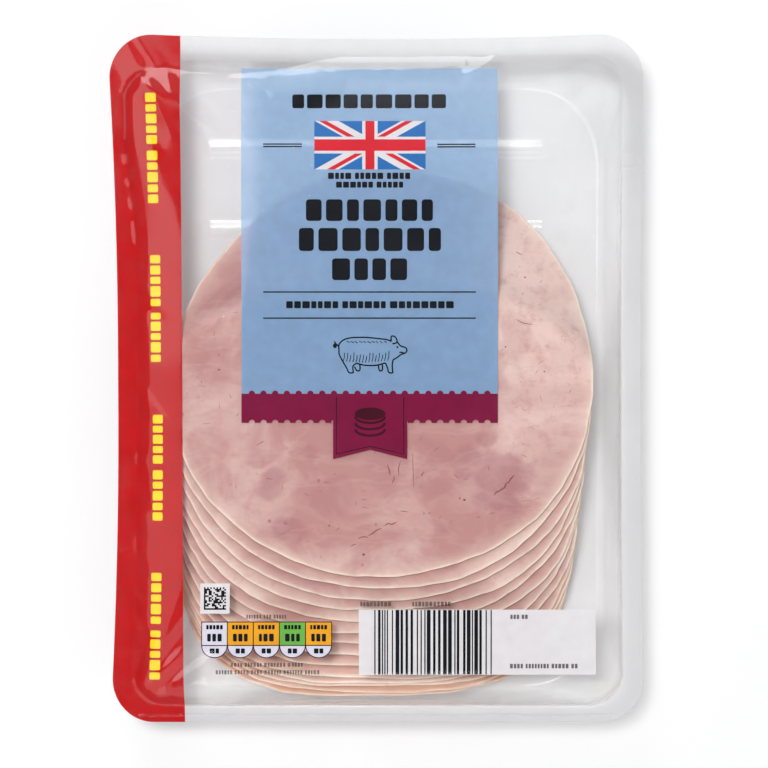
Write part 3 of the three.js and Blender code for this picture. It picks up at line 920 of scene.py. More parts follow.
def slice_mesh(index):
    angles = np.linspace(0, 2 * math.pi, SLICE_STEPS, endpoint=False)
    centre, outer_x, outer_y = slice_outline(index, angles)
    reach = np.hypot(outer_x - centre[0], outer_y - centre[1])
    widest = float(reach.mean()) * RING_REACH
    rows = slice_section(TOP_RINGS if index == 0 else OTHER_RINGS, widest)
    inset, lift, rim = (np.repeat(column, SLICE_STEPS) for column in zip(*rows))
    share = 1 - inset / np.tile(reach, len(rows))
    x = centre[0] + np.tile(outer_x - centre[0], len(rows)) * share
    y = centre[1] + np.tile(outer_y - centre[1], len(rows)) * share
    points = np.stack([x, y, slice_floor(index, x, y) + THICKNESS * lift], axis=-1)
    faces = []
    for level in range(len(rows) - 1):
        faces += joined_rings(SLICE_STEPS, level * SLICE_STEPS, (level + 1) * SLICE_STEPS, True)
    faces.append(tuple(range(SLICE_STEPS)))
    faces.append(tuple(range(len(points) - 1, len(points) - SLICE_STEPS - 1, -1)))

    lean_patches, pale_patches = patches_of(index, centre)
    near_edge = np.exp(-(inset / PEACH_WIDTH) ** 2) * np.clip((centre[1] - y) / PEACH_RUN, 0, 1)
    values = {"lean": patchiness(x, y, lean_patches, LEAN_EDGE), "rim": rim,
              "tone": patchiness(x, y, pale_patches, TONE_EDGE) + (LOWER_TONE if index else 0),
              "peach": PEACH * near_edge * max(0, index + 1 - PEACH_FROM) / (SLICE_COUNT - PEACH_FROM),
              "painted_step_shade": np.zeros_like(x)}
    # painted shade: every slice but the uppermost is darkened just beyond the edge of the slice above,
    # fading over 1.5 mm
    if index > 0:
        bare = beyond_slice_above(index, x, y, angles)
        values["painted_step_shade"] = np.exp(-np.clip(bare, 0, None) / PAINTED_SHADE_WIDTH)
    return points, faces, values


# %% Make the slices
for index in range(SLICE_COUNT):
    points, faces, values = slice_mesh(index)
    node = f"ham_slice_{index + 1:02d}"
    make_piece(f"ham_round_{index + 1:02d}", points, faces, ham_material, "ham", (node,), values)

# %% [markdown]
# ### Cracks and fibres
#
# A pressed slice shows a few dark cracks where muscle pieces meet, and many hair-fine marks along
# the fibres. They are finer than the slice's mesh, and a noise in its colour would spread them
# evenly, so each is a narrow sliver of its own on the uppermost slice: the large ones are placed,
# and the fine ones are scattered by a seeded draw.

# %% Soft paths and ovals
SMOOTH_ROUNDS = 2


def smoothed(path):
    """Cuts the corners of a path, so that a few points give a soft curve."""
    for _ in range(SMOOTH_ROUNDS):
        soft = []
        for (ax, ay), (bx, by) in zip(path, path[1:]):
            soft += [(0.75 * ax + 0.25 * bx, 0.75 * ay + 0.25 * by),
                     (0.25 * ax + 0.75 * bx, 0.25 * ay + 0.75 * by)]
        path = [path[0]] + soft[1:-1] + [path[-1]]
    return path


def oval(x, y, half_x, half_y, start=0, end=360, steps=28):
    turns = np.radians(np.linspace(start, end, steps))
    return [(x + half_x * math.cos(t), y + half_y * math.sin(t)) for t in turns]


print("an oval has", len(oval(0, 0, 1, 1)), "points, of which the last closes it")


# %% Fill outlines with small triangles
def finely(outline, step):
    points = []
    for i, (x, y) in enumerate(outline):
        next_x, next_y = outline[(i + 1) % len(outline)]
        pieces = max(1, math.ceil(math.hypot(next_x - x, next_y - y) / step))
        points += [(x + (next_x - x) * k / pieces, y + (next_y - y) * k / pieces) for k in range(pieces)]
    return points


def filled(outline, step):
    edge = finely(outline, step)
    xs, ys = zip(*edge)
    points = [Vector(p) for p in edge]
    size = len(points)
    rows = np.arange(min(ys) + 0.6 * step, max(ys) - 0.4 * step, step)
    columns = np.arange(min(xs) + 0.6 * step, max(xs) - 0.4 * step, step)
    points += [Vector((x, y)) for y in rows for x in columns]
    made = delaunay_2d_cdt(points, [], [list(range(size))], 1, 1e-4)
    return [tuple(v) for v in made[0]], made[2]


def filled_together(outlines, step):
    """Fills some outlines and joins what comes out: x and y of the points, and the faces."""
    points, faces = [], []
    for outline in outlines:
        flat, triangles = filled(outline, step)
        start = len(points)
        points += flat
        faces += [tuple(start + corner for corner in triangle) for triangle in triangles]
    x, y = np.array(points).T
    return x, y, faces


print("a disc of 4 mm takes", len(filled(oval(0, 0, 2, 2)[:-1], 1)[1]), "triangles")

# %% Slivers and dots on the uppermost slice
CRACKS = [([(35.0, -35.2), (35.9, -33.9), (36.9, -33.6), (37.6, -32.4)], 0.45),
          ([(37.0, -33.7), (38.3, -32.6), (38.9, -31.2), (39.6, -30.9)], 0.5),
          ([(39.3, -31.6), (40.2, -29.9), (41.4, -28.7)], 0.42),
          ([(-7.8, -50.2), (-6.5, -49.6), (-5.9, -49.7)], 0.3),
          ([(-5.6, -47.9), (-4.0, -47.3), (-2.2, -47.5)], 0.34),
          ([(-2.6, -47.1), (-0.9, -46.2), (0.3, -45.2), (1.8, -44.8)], 0.42),
          ([(2.2, -44.2), (3.5, -43.3), (4.6, -43.7), (6.3, -42.8)], 0.4),
          ([(3.2, -25.6), (3.9, -27.5), (4.2, -29.3)], 0.36),
          ([(4.6, -31.5), (5.3, -30.2), (5.4, -28.9)], 0.32),
          ([(7.3, -24.4), (6.6, -27.0), (6.8, -29.6)], 0.3),
          ([(10.8, -22.0), (11.2, -33.2)], 0.2), ([(13.4, -29.4), (14.2, -27.8)], 0.26),
          ([(41.4, 17.8), (44.0, 16.4), (47.2, 16.0)], 0.22), ([(42.2, 38.6), (44.6, 37.4)], 0.24),
          ([(7.0, -39.6), (9.6, -39.9)], 0.22), ([(-36.0, -20.0), (-33.2, -18.6)], 0.2)]
DOTS = [(26.3, -36.3, 0.42), (24.9, -35.8, 0.3), (-3.8, -52.6, 0.5), (14.2, -40.4, 0.25),
        (15.9, -40.2, 0.22), (45.0, 30.6, 0.3), (50.2, 2.0, 0.3), (-14.0, -44.0, 0.3),
        (-47.0, 2.6, 0.3), (38.6, 9.4, 0.28)]
MARKS, MARK_TURN, MARK_SCATTER = 150, math.radians(24), 0.6
MARK_LENGTH, MARK_WIDTH = (0.5, 2.6), (0.08, 0.2)
MARK_FIELD = dict(x=1.5, y=-1, half_x=58, half_y=55)
SLIVER_STEPS, SLIVER_FILL = 9, 1.2


def sliver(path, width):
    """A stroke along a path that narrows to both of its ends."""
    bends = np.array(path, float)
    done = np.concatenate([[0], np.cumsum(np.linalg.norm(np.diff(bends, axis=0), axis=1))])
    places = np.linspace(0, done[-1], SLIVER_STEPS)
    points = np.stack([np.interp(places, done, bends[:, axis]) for axis in (0, 1)], axis=-1)
    along = np.gradient(points, axis=0)
    along /= np.linalg.norm(along, axis=1)[:, None]
    share = np.linspace(0, 1, len(points))[:, None]
    side = np.stack([-along[:, 1], along[:, 0]], axis=-1) * width / 2 * np.sin(math.pi * share) ** 0.7
    return [tuple(p) for p in points + side] + [tuple(p) for p in (points - side)[-2:0:-1]]


def scattered_marks(draw):
    marks = []
    while len(marks) < MARKS:
        x, y = draw.uniform(-58, 60), draw.uniform(-54, 58)
        off_x = (x - MARK_FIELD["x"]) / MARK_FIELD["half_x"]
        if math.hypot(off_x, (y - MARK_FIELD["y"]) / MARK_FIELD["half_y"]) > 1:
            continue
        angle, length = MARK_TURN + draw.gauss(0, MARK_SCATTER), draw.uniform(*MARK_LENGTH)
        end = (x + length * math.cos(angle), y + length * math.sin(angle))
        marks.append(([(x, y), end], draw.uniform(*MARK_WIDTH)))
    return marks


print(len(CRACKS), "cracks,", len(DOTS), "dots and", MARKS, "fine marks")


# %% Lay the cracks and the marks on the meat
def lay_on_slice(name, outlines, material, lift):
    x, y, faces = filled_together(outlines, SLIVER_FILL)
    points = np.stack([x, y, slice_floor(0, x, y) + THICKNESS + lift], axis=-1)
    return make_piece(name, points, faces, material, "ham")


def crack_flesh(name, paint, opacity):
    material, tree, place = new_material(name)
    uneven = tree.ramp(tree.noise(place, 900.0, 3.0), 0.3, 0.7)
    body = tree.add("BsdfPrincipled", {"Base Color": tree.blend(uneven, paint, scaled(paint, 1.5)),
                                       "Roughness": 0.45})
    share = tree.ramp(uneven, 0, 1, opacity, opacity * 0.6)
    tree.finish(tree.mix(share, tree.add("BsdfTransparent"), body))
    return material


crack_outlines = [sliver(path, width) for path, width in CRACKS]
crack_outlines += [oval(x, y, size, 0.8 * size, steps=11)[:-1] for x, y, size in DOTS]
lay_on_slice("ham_cracks", crack_outlines, crack_flesh("ham_crack", colour(134, 76, 72), 0.75), 0.03)
lay_on_slice("ham_marks", [sliver(path, width) for path, width in scattered_marks(random.Random(31))],
             crack_flesh("ham_mark", colour(160, 104, 100), 0.5), 0.02)

# %% [markdown]
# ## The print
#
# Every printed field is an outline on the flat film. It is filled with small triangles, so that it
# can follow the film's folds, and laid a little under the film. What is printed first lies nearest
# to the film and hides the inks behind it, so each field has a level. The words of the real pack are
# left off. Rows of plain blocks of like weight stand in their places.

# %% Fill an outline with small triangles and lay it under the film
PRINT_STEP = 0.9
INK_BELOW = {"top": 0.05, "upper": 0.075, "middle": 0.1, "lower": 0.125}


def lay_print(name, outlines, paint, level, step=PRINT_STEP):
    x, y, faces = filled_together(outlines, step)
    return make_piece(name, on_film(x, y, INK_BELOW[level]), faces, inks[paint], "print")


def oblong(left, right, bottom, top):
    return [(left, bottom), (right, bottom), (right, top), (left, top)]


def field(sides):
    return oblong(sides["left"], sides["right"], sides["bottom"], sides["top"])


print("levels of ink, in mm under the film:", INK_BELOW)

# %% Rows of plain blocks where the words were
LETTER_GAP, WORD_GAP = 0.2, 0.6
LETTER_ROUNDING, ROUNDING_STEPS = 0.14, 3


def soft_oblong(left, right, bottom, top):
    radius = LETTER_ROUNDING * (top - bottom)
    corners = [(right - radius, top - radius, 0), (left + radius, top - radius, 90),
               (left + radius, bottom + radius, 180), (right - radius, bottom + radius, 270)]
    return [(x + radius * math.cos(math.radians(start + 90 * k / ROUNDING_STEPS)),
             y + radius * math.sin(math.radians(start + 90 * k / ROUNDING_STEPS)))
            for x, y, start in corners for k in range(ROUNDING_STEPS + 1)]


def blocks(left, right, bottom, top, counts, seed):
    """Blocks of letter size between left and right: counts says how many stand in each word."""
    chance = random.Random(seed)
    height = top - bottom
    sizes = [chance.uniform(0.75, 1.25) for _ in range(sum(counts))]
    gaps = (sum(counts) - len(counts)) * LETTER_GAP * height + (len(counts) - 1) * WORD_GAP * height
    scale = (right - left - gaps) / sum(sizes)
    word_ends = {sum(counts[:k + 1]) - 1 for k in range(len(counts))}
    shapes, x = [], left
    for i, size in enumerate(sizes):
        shapes.append(soft_oblong(x, x + size * scale, bottom, top))
        x += size * scale + (WORD_GAP if i in word_ends else LETTER_GAP) * height
    return shapes


print("two words of three and five letters:", len(blocks(0, 20, 0, 2, (3, 5), 1)), "blocks")

# %% [markdown]
# ### The red band
#
# It runs down the whole left side and takes the pack's own rounded corners, so its outline is made
# from the same radius. Its right edge drifts further right below the middle, as the film was laid
# on a little askew. Its rows read upwards, so they are made lying flat and then turned.

# %% The red band down the left side, with yellow blocks that read upwards
BAND_RIGHT, BAND_SLANT = -58.75, 1.15
BAND_BLOCK_HEIGHT = 3.3
BAND_WORDS = [(-67.5, 52.3, 85.1), (-67.15, 4.9, 36.8), (-66.55, -42.5, -10.9), (-66.7, -90.0, -58.1)]


def band_outline():
    """Both corners on the left, and on the right an edge that slants away below the middle."""
    straight = HALF_LENGTH - CORNER_RADIUS
    turns = np.linspace(0, math.pi / 2, 13)
    left_top = [(-HALF_WIDTH + CORNER_RADIUS * (1 - math.cos(t)), straight + CORNER_RADIUS * math.sin(t))
                for t in turns]
    left_low = [(x, -y) for x, y in left_top]
    slanted = [(BAND_RIGHT + BAND_SLANT * share ** 1.5, -HALF_LENGTH * share)
               for share in np.linspace(1, 0, 9)]
    return left_low + slanted + [(BAND_RIGHT, HALF_LENGTH)] + left_top[::-1]


def upright(outline, middle_x, bottom_y):
    """Turns an outline that starts at x 0 and is centred on y 0 to read upwards."""
    return [(middle_x - y, bottom_y + x) for x, y in outline]


lay_print("print_red_band", [band_outline()], "red", "middle", 0.8)
yellow = []
for k, (middle, bottom, top) in enumerate(BAND_WORDS):
    row = blocks(0, top - bottom, -BAND_BLOCK_HEIGHT / 2, BAND_BLOCK_HEIGHT / 2, (5, 5), 7 + k % 2)
    yellow += [upright(outline, middle, bottom) for outline in row]
lay_print("print_band_blocks", yellow, "yellow", "top")

# %% [markdown]
# ### The label and the plum band
#
# A plain pale blue field, and under it a plum band whose two edges are scalloped like a ribbon. The
# scallops could be cut out with a boolean, but an outline that simply walks along them is cleaner.
# A pennant hangs from the band. On it stands a drawn stack of three rounds.

# %% The blue label
LABEL = dict(left=-40.4, right=36.3, top=93.5, bottom=-4.6)
lay_print("print_blue_label", [field(LABEL)], "blue", "lower")

# %% The plum band under it, with a scalloped edge above and below
PLUM_BOTTOM, SCALLOP_PITCH, SCALLOP_RADIUS = -13.3, 3.52, 0.95


def scallops(left, right, y):
    """Half rounds that stand up from a line."""
    points = []
    count = int((right - left) / SCALLOP_PITCH)
    offset = (right - left - (count - 1) * SCALLOP_PITCH) / 2
    for k in range(count):
        middle = left + offset + k * SCALLOP_PITCH
        for turn in np.linspace(math.pi, 0, 9):
            points.append((middle + SCALLOP_RADIUS * math.cos(turn), y + SCALLOP_RADIUS * math.sin(turn)))
    return points


def plum_edge(y):
    left, right = LABEL["left"], LABEL["right"]
    return [(left, y)] + scallops(left, right, y) + [(right, y)]


plum_outline = plum_edge(PLUM_BOTTOM) + plum_edge(LABEL["bottom"])[::-1]
lay_print("print_plum_band", [plum_outline], "plum", "middle", 0.7)

# %% The pennant that hangs from the plum band, with three stacked rounds on it
PENNANT = dict(left=-12.9, right=9.2, top=-5.6, tips=-24.1, notch=-21.3)
PENNANT_TRIM, TRIM_LINE, ROUND_LINE = 1.0, 0.35, 0.75
ROUNDS = dict(count=3, y=-11.4, step=1.9, half_x=4.4, half_y=1.9)
UPPER_ROUND = dict(y=-10.6, half_x=4.6, half_y=1.9)
pennant_middle = (PENNANT["left"] + PENNANT["right"]) / 2


def pennant(inset):
    left, right = PENNANT["left"] + inset, PENNANT["right"] - inset
    tips = PENNANT["tips"] + 1.5 * inset
    return [(left, PENNANT["top"]), (left, tips), (pennant_middle, PENNANT["notch"] + inset),
            (right, tips), (right, PENNANT["top"])]


def of_length_one(steps):
    return steps / np.linalg.norm(steps, axis=1)[:, None]


def ribbon(path, width):
    """A line of even width along a path, as one outline."""
    points = np.array(path, float)
    ahead = np.roll(points, -1, axis=0) - points
    behind = points - np.roll(points, 1, axis=0)
    ahead[-1], behind[0] = behind[-1], ahead[0]
    along = of_length_one(of_length_one(ahead) + of_length_one(behind))
    side = np.stack([-along[:, 1], along[:, 0]], axis=-1) * width / 2
    return [tuple(p) for p in points + side] + [tuple(p) for p in (points - side)[::-1]]


lay_print("print_pennant", [pennant(0)], "plum", "upper", 0.8)
trim = [ribbon(pennant(PENNANT_TRIM), TRIM_LINE)]
for k in range(ROUNDS["count"]):
    rim = oval(pennant_middle, ROUNDS["y"] - ROUNDS["step"] * k, ROUNDS["half_x"], ROUNDS["half_y"],
               180, 360)
    trim.append(ribbon(rim, ROUND_LINE))
trim.append(oval(pennant_middle, *UPPER_ROUND.values())[:-1])
lay_print("print_pennant_rounds", trim, "wine", "top", 0.6)

# %% [markdown]
# ### The flag
#
# The common national flag is a figure with fixed rules: an upright cross with pale borders over two
# slanting ones, whose red arms sit to one side of the pale ones. One slanting arm is worked out in a
# quarter and clipped to it, and the four quarters mirror it.

# %% The flag, a plain national figure made of colour fields
FLAG = dict(x=-1.9, y=69.85, half_x=16.6, half_y=7.35, steep=0.57, white_arm=1.75, red_arm=1.15,
            white_upright=2.3, white_level=2.55, red_upright=1.36, red_level=1.75)


def clipped(outline, left, right, bottom, top):
    """The part of a convex outline that lies inside an oblong."""
    for axis, limit, keep in ((0, left, 1), (0, right, -1), (1, bottom, 1), (1, top, -1)):
        kept = []
        for i, here in enumerate(outline):
            last = outline[i - 1]
            here_in, last_in = keep * (here[axis] - limit), keep * (last[axis] - limit)
            if here_in * last_in < 0:
                share = last_in / (last_in - here_in)
                kept.append(tuple(last[k] + (here[k] - last[k]) * share for k in (0, 1)))
            if here_in >= 0:
                kept.append(here)
        outline = kept
    return outline


def flag_arm(side, rise, low, high):
    """A slanting band in one quarter, between two distances from the line through the middle."""
    slant = math.hypot(1, FLAG["steep"])
    far = 2 * FLAG["half_x"]
    corners = ((0, low), (far, low), (far, high), (0, high))
    band = [(x, FLAG["steep"] * x + away * slant) for x, away in corners]
    band = clipped(band, FLAG["white_upright"], FLAG["half_x"], FLAG["white_level"], FLAG["half_y"])
    return [(FLAG["x"] + side * x, FLAG["y"] + rise * y) for x, y in band]


def flag_cross(half_upright, half_level):
    a, b = FLAG["half_x"], FLAG["half_y"]
    x, y = FLAG["x"], FLAG["y"]
    return [oblong(x - half_upright, x + half_upright, y - b, y + b),
            oblong(x - a, x - half_upright, y - half_level, y + half_level),
            oblong(x + half_upright, x + a, y - half_level, y + half_level)]


print("a red arm has", len(flag_arm(1, 1, 0, FLAG["red_arm"])), "corners once it is clipped")

# %% The flag's three colours
quarters = [(side, rise) for side in (-1, 1) for rise in (-1, 1)]
white_arms = [flag_arm(side, rise, -FLAG["white_arm"], FLAG["white_arm"]) for side, rise in quarters]
red_arms = [flag_arm(side, rise, *((0, FLAG["red_arm"]) if side * rise > 0 else (-FLAG["red_arm"], 0)))
            for side, rise in quarters]
lay_print("print_flag_field", [oblong(FLAG["x"] - FLAG["half_x"], FLAG["x"] + FLAG["half_x"],
                                      FLAG["y"] - FLAG["half_y"], FLAG["y"] + FLAG["half_y"])],
          "flag_blue", "middle")
lay_print("print_flag_white", white_arms + flag_cross(FLAG["white_upright"], FLAG["white_level"]),
          "white", "upper", 0.8)
lay_print("print_flag_red", red_arms + flag_cross(FLAG["red_upright"], FLAG["red_level"]), "flag_red",
          "top", 0.8)
print("flag", 2 * FLAG["half_x"], "x", 2 * FLAG["half_y"], "mm")

# %% Rows of dark blocks and lines on the blue label
def rows_of_blocks(rows, seed):
    """Each row is (left, right, bottom, top, blocks in each word)."""
    shapes = []
    for k, (left, right, bottom, top, counts) in enumerate(rows):
        shapes += blocks(left, right, bottom, top, counts, seed + k)
    return shapes


LABEL_ROWS = [(-25.1, 20.8, 81.1, 85.4, (9,)), (-14.4, 10.1, 59.6, 61.5, (4, 5, 4)),
              (-12.0, 8.0, 57.0, 58.8, (6, 5)), (-21.0, 16.9, 47.0, 53.5, (7,)),
              (-23.1, 19.3, 38.0, 44.9, (7,)), (-13.2, 9.2, 29.3, 35.8, (4,)),
              (-26.9, 23.1, 20.9, 23.0, (7, 6, 8))]
LABEL_LINES = [(-33.8, 29.7, 25.55, 25.95), (-33.8, 29.7, 17.75, 18.15), (-33.8, -22.2, 69.95, 70.35),
               (-33.8, -22.2, 69.2, 69.6), (18.2, 29.6, 69.85, 70.25), (18.2, 29.6, 69.1, 69.5)]
label_print = rows_of_blocks(LABEL_ROWS, 21)
label_print += [oblong(left, right, bottom, top) for left, right, bottom, top in LABEL_LINES]
lay_print("print_label_blocks", label_print, "black", "middle", 1.0)

# %% [markdown]
# ### The pig
#
# A small pig in pen strokes, drawn afresh: each path is a few points that are rounded off and
# thickened to an outline, and short seeded strokes hatch its belly and back. Curve objects with a
# bevel would do it too, but filled outlines can follow the film like the rest of the print.

# %% A line-drawn pig, facing right
PIG = dict(x=-1.9, y=7.1)
PIG_LINE, HATCH_LINE = 0.42, 0.24
BELLY_STROKES, BELLY_STEP, BACK_STROKES, BACK_STEP = 15, 0.95, 10, 1.25
PIG_EYE = (8.2, 2.2, 0.32, 0.32)
PIG_PATHS = [
    [(-9.2, 1.2), (-9.4, 3.2), (-7.2, 4.9), (-2.5, 5.2), (2.4, 4.8), (5.4, 4.4), (6.4, 3.9)],
    [(6.4, 3.9), (6.2, 5.6), (7.6, 5.4), (8.3, 3.8), (7.4, 3.2), (6.7, 3.3)],
    [(8.2, 3.7), (9.0, 2.5), (10.8, 2.1), (11.1, 1.1), (10.6, 0.4), (9.2, 0.0), (8.2, -0.9), (6.9, -1.6)],
    [(6.9, -1.6), (6.6, -3.2), (6.8, -5.0), (6.9, -5.5), (5.5, -5.5), (5.3, -4.0), (4.6, -2.5)],
    [(4.6, -2.5), (2.0, -3.3), (-1.6, -3.3), (-4.0, -2.6)],
    [(-4.0, -2.6), (-5.2, -3.4), (-5.0, -5.0), (-4.9, -5.5), (-6.4, -5.5), (-6.8, -4.2), (-8.2, -1.9),
     (-9.3, 0.2), (-9.2, 1.2)],
    [(3.7, -2.9), (3.8, -4.9), (2.7, -4.9), (2.5, -3.1)],
    [(-3.0, -2.9), (-2.9, -4.9), (-4.0, -4.9), (-4.6, -3.6)],
    [(-9.3, 2.4), (-10.3, 3.4), (-11.0, 2.6), (-10.4, 1.9), (-9.9, 2.7), (-10.6, 3.9)],
    [(10.2, 0.4), (9.3, 0.7), (8.8, 0.6)],
]


def pig_hatching(draw):
    strokes = []
    for k in range(BELLY_STROKES):
        x = -8.0 + k * BELLY_STEP
        low = -2.5 + 0.5 * abs(k - 6) / 6
        strokes.append([(x, low), (x + 0.35, low + draw.uniform(0.8, 1.5)),
                        (x + 0.4, low + draw.uniform(1.9, 3.0))])
    for k in range(BACK_STROKES):
        x = -7.0 + k * BACK_STEP
        strokes.append([(x, 3.9), (x + draw.uniform(0.7, 1.1), 3.6 - 0.1 * (k % 3))])
    return strokes


pig = [ribbon(smoothed(path), PIG_LINE) for path in PIG_PATHS]
pig += [ribbon(stroke, HATCH_LINE) for stroke in pig_hatching(random.Random(3))]
pig.append(oval(*PIG_EYE)[:-1])
pig = [[(PIG["x"] + x, PIG["y"] + y) for x, y in outline] for outline in pig]
lay_print("print_pig", pig, "black", "middle", 1.0)

# %% [markdown]
# ### Codes, tabs and the date label
#
# Small print at the foot of the pack: a square code, five tabs with round feet in the colours of a
# nutrition table, and a pale label with bars. None of it can be read: the cells and the bars come
# from a seeded draw, which keeps the right grain of dark and pale without saying anything.

# %% The square code, made of seeded cells between a solid corner and a dotted one
CODE = dict(left=-52.9, right=-43.9, bottom=-70.2, top=-61.2, inset=1.15, cells=14)
CELL_FILL, DARK_SHARE = 1.02, 0.5
lay_print("print_code_field", [field(CODE)], "white", "lower")


def code_cells(seed):
    chance = random.Random(seed)
    size = (CODE["right"] - CODE["left"] - 2 * CODE["inset"]) / CODE["cells"]
    last = CODE["cells"] - 1
    shapes = []
    for row in range(CODE["cells"]):
        for column in range(CODE["cells"]):
            edge = column == 0 or row == 0
            dotted = (row == last and column % 2 == 0) or (column == last and row % 2 == 0)
            inner = 0 < row < last and 0 < column < last
            if edge or dotted or (inner and chance.random() < DARK_SHARE):
                x = CODE["left"] + CODE["inset"] + column * size
                y = CODE["bottom"] + CODE["inset"] + row * size
                shapes.append(oblong(x, x + size * CELL_FILL, y, y + size * CELL_FILL))
    return shapes


lay_print("print_code_cells", code_cells(5), "black", "top", 1.0)

# %% The panel of five tabs
PANEL = dict(left=-52.4, right=-13.3, top=-72.7, middle=-79.7, bottom=-83.4, tabs=5)
PANEL_LINE, FOOT_GAP = 0.28, 0.05
tab_width = (PANEL["right"] - PANEL["left"]) / PANEL["tabs"]


def tab_left(k):
    return PANEL["left"] + k * tab_width


def tab_foot(k):
    return oval(tab_left(k + 0.5), PANEL["middle"], tab_width / 2 - FOOT_GAP,
                PANEL["middle"] - PANEL["bottom"], 180, 360, 15)


def tab_head(k):
    return oblong(tab_left(k), tab_left(k) + tab_width, PANEL["middle"], PANEL["top"])


tabs = range(PANEL["tabs"])
lay_print("print_tab_feet", [tab_foot(k) for k in tabs] + [tab_head(0)], "lilac", "lower")
lay_print("print_tab_amber", [tab_head(k) for k in (1, 2, 4)], "amber", "lower")
lay_print("print_tab_green", [tab_head(3)], "green", "lower")
panel_paths = [[(PANEL["left"], PANEL[height]), (PANEL["right"], PANEL[height])]
               for height in ("top", "middle")]
panel_paths += [[(tab_left(k), PANEL["top"]), (tab_left(k), PANEL["middle"])]
                for k in (*tabs, PANEL["tabs"])]
panel_paths += [tab_foot(k) for k in tabs]
lay_print("print_tab_lines", [ribbon(path, PANEL_LINE) for path in panel_paths], "wine", "top", 1.0)

# %% Small rows on the tabs and around them
# A row on a tab is (half width, bottom, top, blocks in each word).
TAB_ROWS = [(2.5, -74.9, -73.6, (5,)), (2.2, -78.5, -76.2, (3,)), (1.4, -82.1, -80.6, (2,))]
PANEL_NOTES = [(-38.9, -27.0, -71.7, -70.5, (6, 3, 5)), (-43.5, -22.0, -86.1, -84.9, (4, 6, 7, 5)),
               (-48.1, -17.0, -88.4, -87.1, (6, 5, 4, 6, 7, 5))]
panel_rows = [(tab_left(k + 0.5) - half, tab_left(k + 0.5) + half, bottom, top, counts)
              for k in tabs for half, bottom, top, counts in TAB_ROWS]
lay_print("print_panel_blocks", rows_of_blocks(panel_rows, 60), "black", "upper", 1.0)
lay_print("print_panel_notes", rows_of_blocks(PANEL_NOTES, 75), "faint", "upper", 1.0)

# %% The pale label with its bars
DATE_LABEL = dict(left=-5.2, right=65.6, bottom=-88.5, top=-69.0)
BAR_LEFT, BAR_MODULE, BAR_MODULES = -0.6, 0.373, 95
BAR_WIDTHS, BAR_GAPS, BAR_INSET = (1, 1, 1, 2, 2, 3), (1, 1, 2, 2, 3), 0.1
lay_print("print_date_label", [field(DATE_LABEL)], "white", "lower")


def bars(seed):
    chance = random.Random(seed)
    shapes, module = [], 0
    while module < BAR_MODULES:
        width = min(chance.choice(BAR_WIDTHS), BAR_MODULES - module)
        left = BAR_LEFT + module * BAR_MODULE
        shapes.append(oblong(left, left + width * BAR_MODULE, DATE_LABEL["bottom"] + BAR_INSET,
                             DATE_LABEL["top"] - BAR_INSET))
        module += width + chance.choice(BAR_GAPS)
    return shapes


lay_print("print_bars", bars(8), "black", "upper", 1.0)
NUMBER_ROWS = [(-4.8, 4.4, -68.0, -66.6, (9,)), (10.7, 22.2, -68.0, -66.6, (11,))]
DATE_ROWS = [(40.0, 45.2, -71.8, -70.5, (3, 2)), (39.9, 60.1, -86.6, -85.2, (4, 8, 5, 2))]
lay_print("print_number_blocks", rows_of_blocks(NUMBER_ROWS, 90), "faint", "upper", 1.0)
lay_print("print_date_blocks", rows_of_blocks(DATE_ROWS, 92), "grey", "upper", 1.0)

# %% [markdown]
# ## Floor, light and camera
#
# The pack is shot from straight above on white. A sheet of white paper under even light comes out a
# little grey, so the floor glows faintly as well, which keeps it white and lets it still take a soft
# shadow. It lies a hair below the tray, or the two surfaces would flicker into each other.

# %% The floor
FLOOR_HALF, FLOOR_GAP = 3.0, 0.0004
FLOOR_COLOUR, FLOOR_ROUGHNESS, FLOOR_GLOW = (0.715, 0.715, 0.72, 1), 0.9, 0.2
floor_mesh = bpy.data.meshes.new("floor")
floor_corners = [(x, y, 0) for x, y in oblong(-FLOOR_HALF, FLOOR_HALF, -FLOOR_HALF, FLOOR_HALF)]
floor_mesh.from_pydata(floor_corners, [], [(0, 1, 2, 3)])
floor = bpy.data.objects.new("floor", floor_mesh)
floor.location.z = -FLOOR_GAP
bpy.context.scene.collection.objects.link(floor)
paper, tree, _ = new_material("pale_floor")
tree.finish(tree.add("BsdfPrincipled", {"Base Color": FLOOR_COLOUR, "Roughness": FLOOR_ROUGHNESS,
                                        "Emission Color": (1, 1, 1, 1), "Emission Strength": FLOOR_GLOW}))
floor_mesh.materials.append(paper)
print("floor", 2 * FLOOR_HALF, "m wide")

# %% [markdown]
# ### Lamps and window panes
#
# A small strong lamp from the upper left throws the soft edge of shadow to the right and below, and
# large weak ones fill it. Film mirrors all that stands around it, so most lamps are hidden from
# mirror images, or each would show as a bright square. What the film should mirror is set up apart:
# a bright strip beyond the far edge and panes like windows on the left. They show in mirror images
# alone and light nothing, so the gloss can be placed without changing the shading.

# %% Soft lamps
AIM_HEIGHT = 0.02


def softbox(name, place, size, power, faces_down=False, mirrored=True, lit=True):
    """A soft lamp. It can be left out of mirror images, or kept to them alone."""
    lamp = bpy.data.lights.new(name, "AREA")
    lamp.shape = "RECTANGLE"
    lamp.size, lamp.size_y = size
    lamp.energy = power
    holder = bpy.data.objects.new(name, lamp)
    holder.location = place
    if not faces_down:
        aim = Vector((0, 0, AIM_HEIGHT)) - Vector(place)
        holder.rotation_euler = aim.to_track_quat("-Z", "Y").to_euler()
    holder.visible_glossy = mirrored
    holder.visible_diffuse = lit
    bpy.context.scene.collection.objects.link(holder)


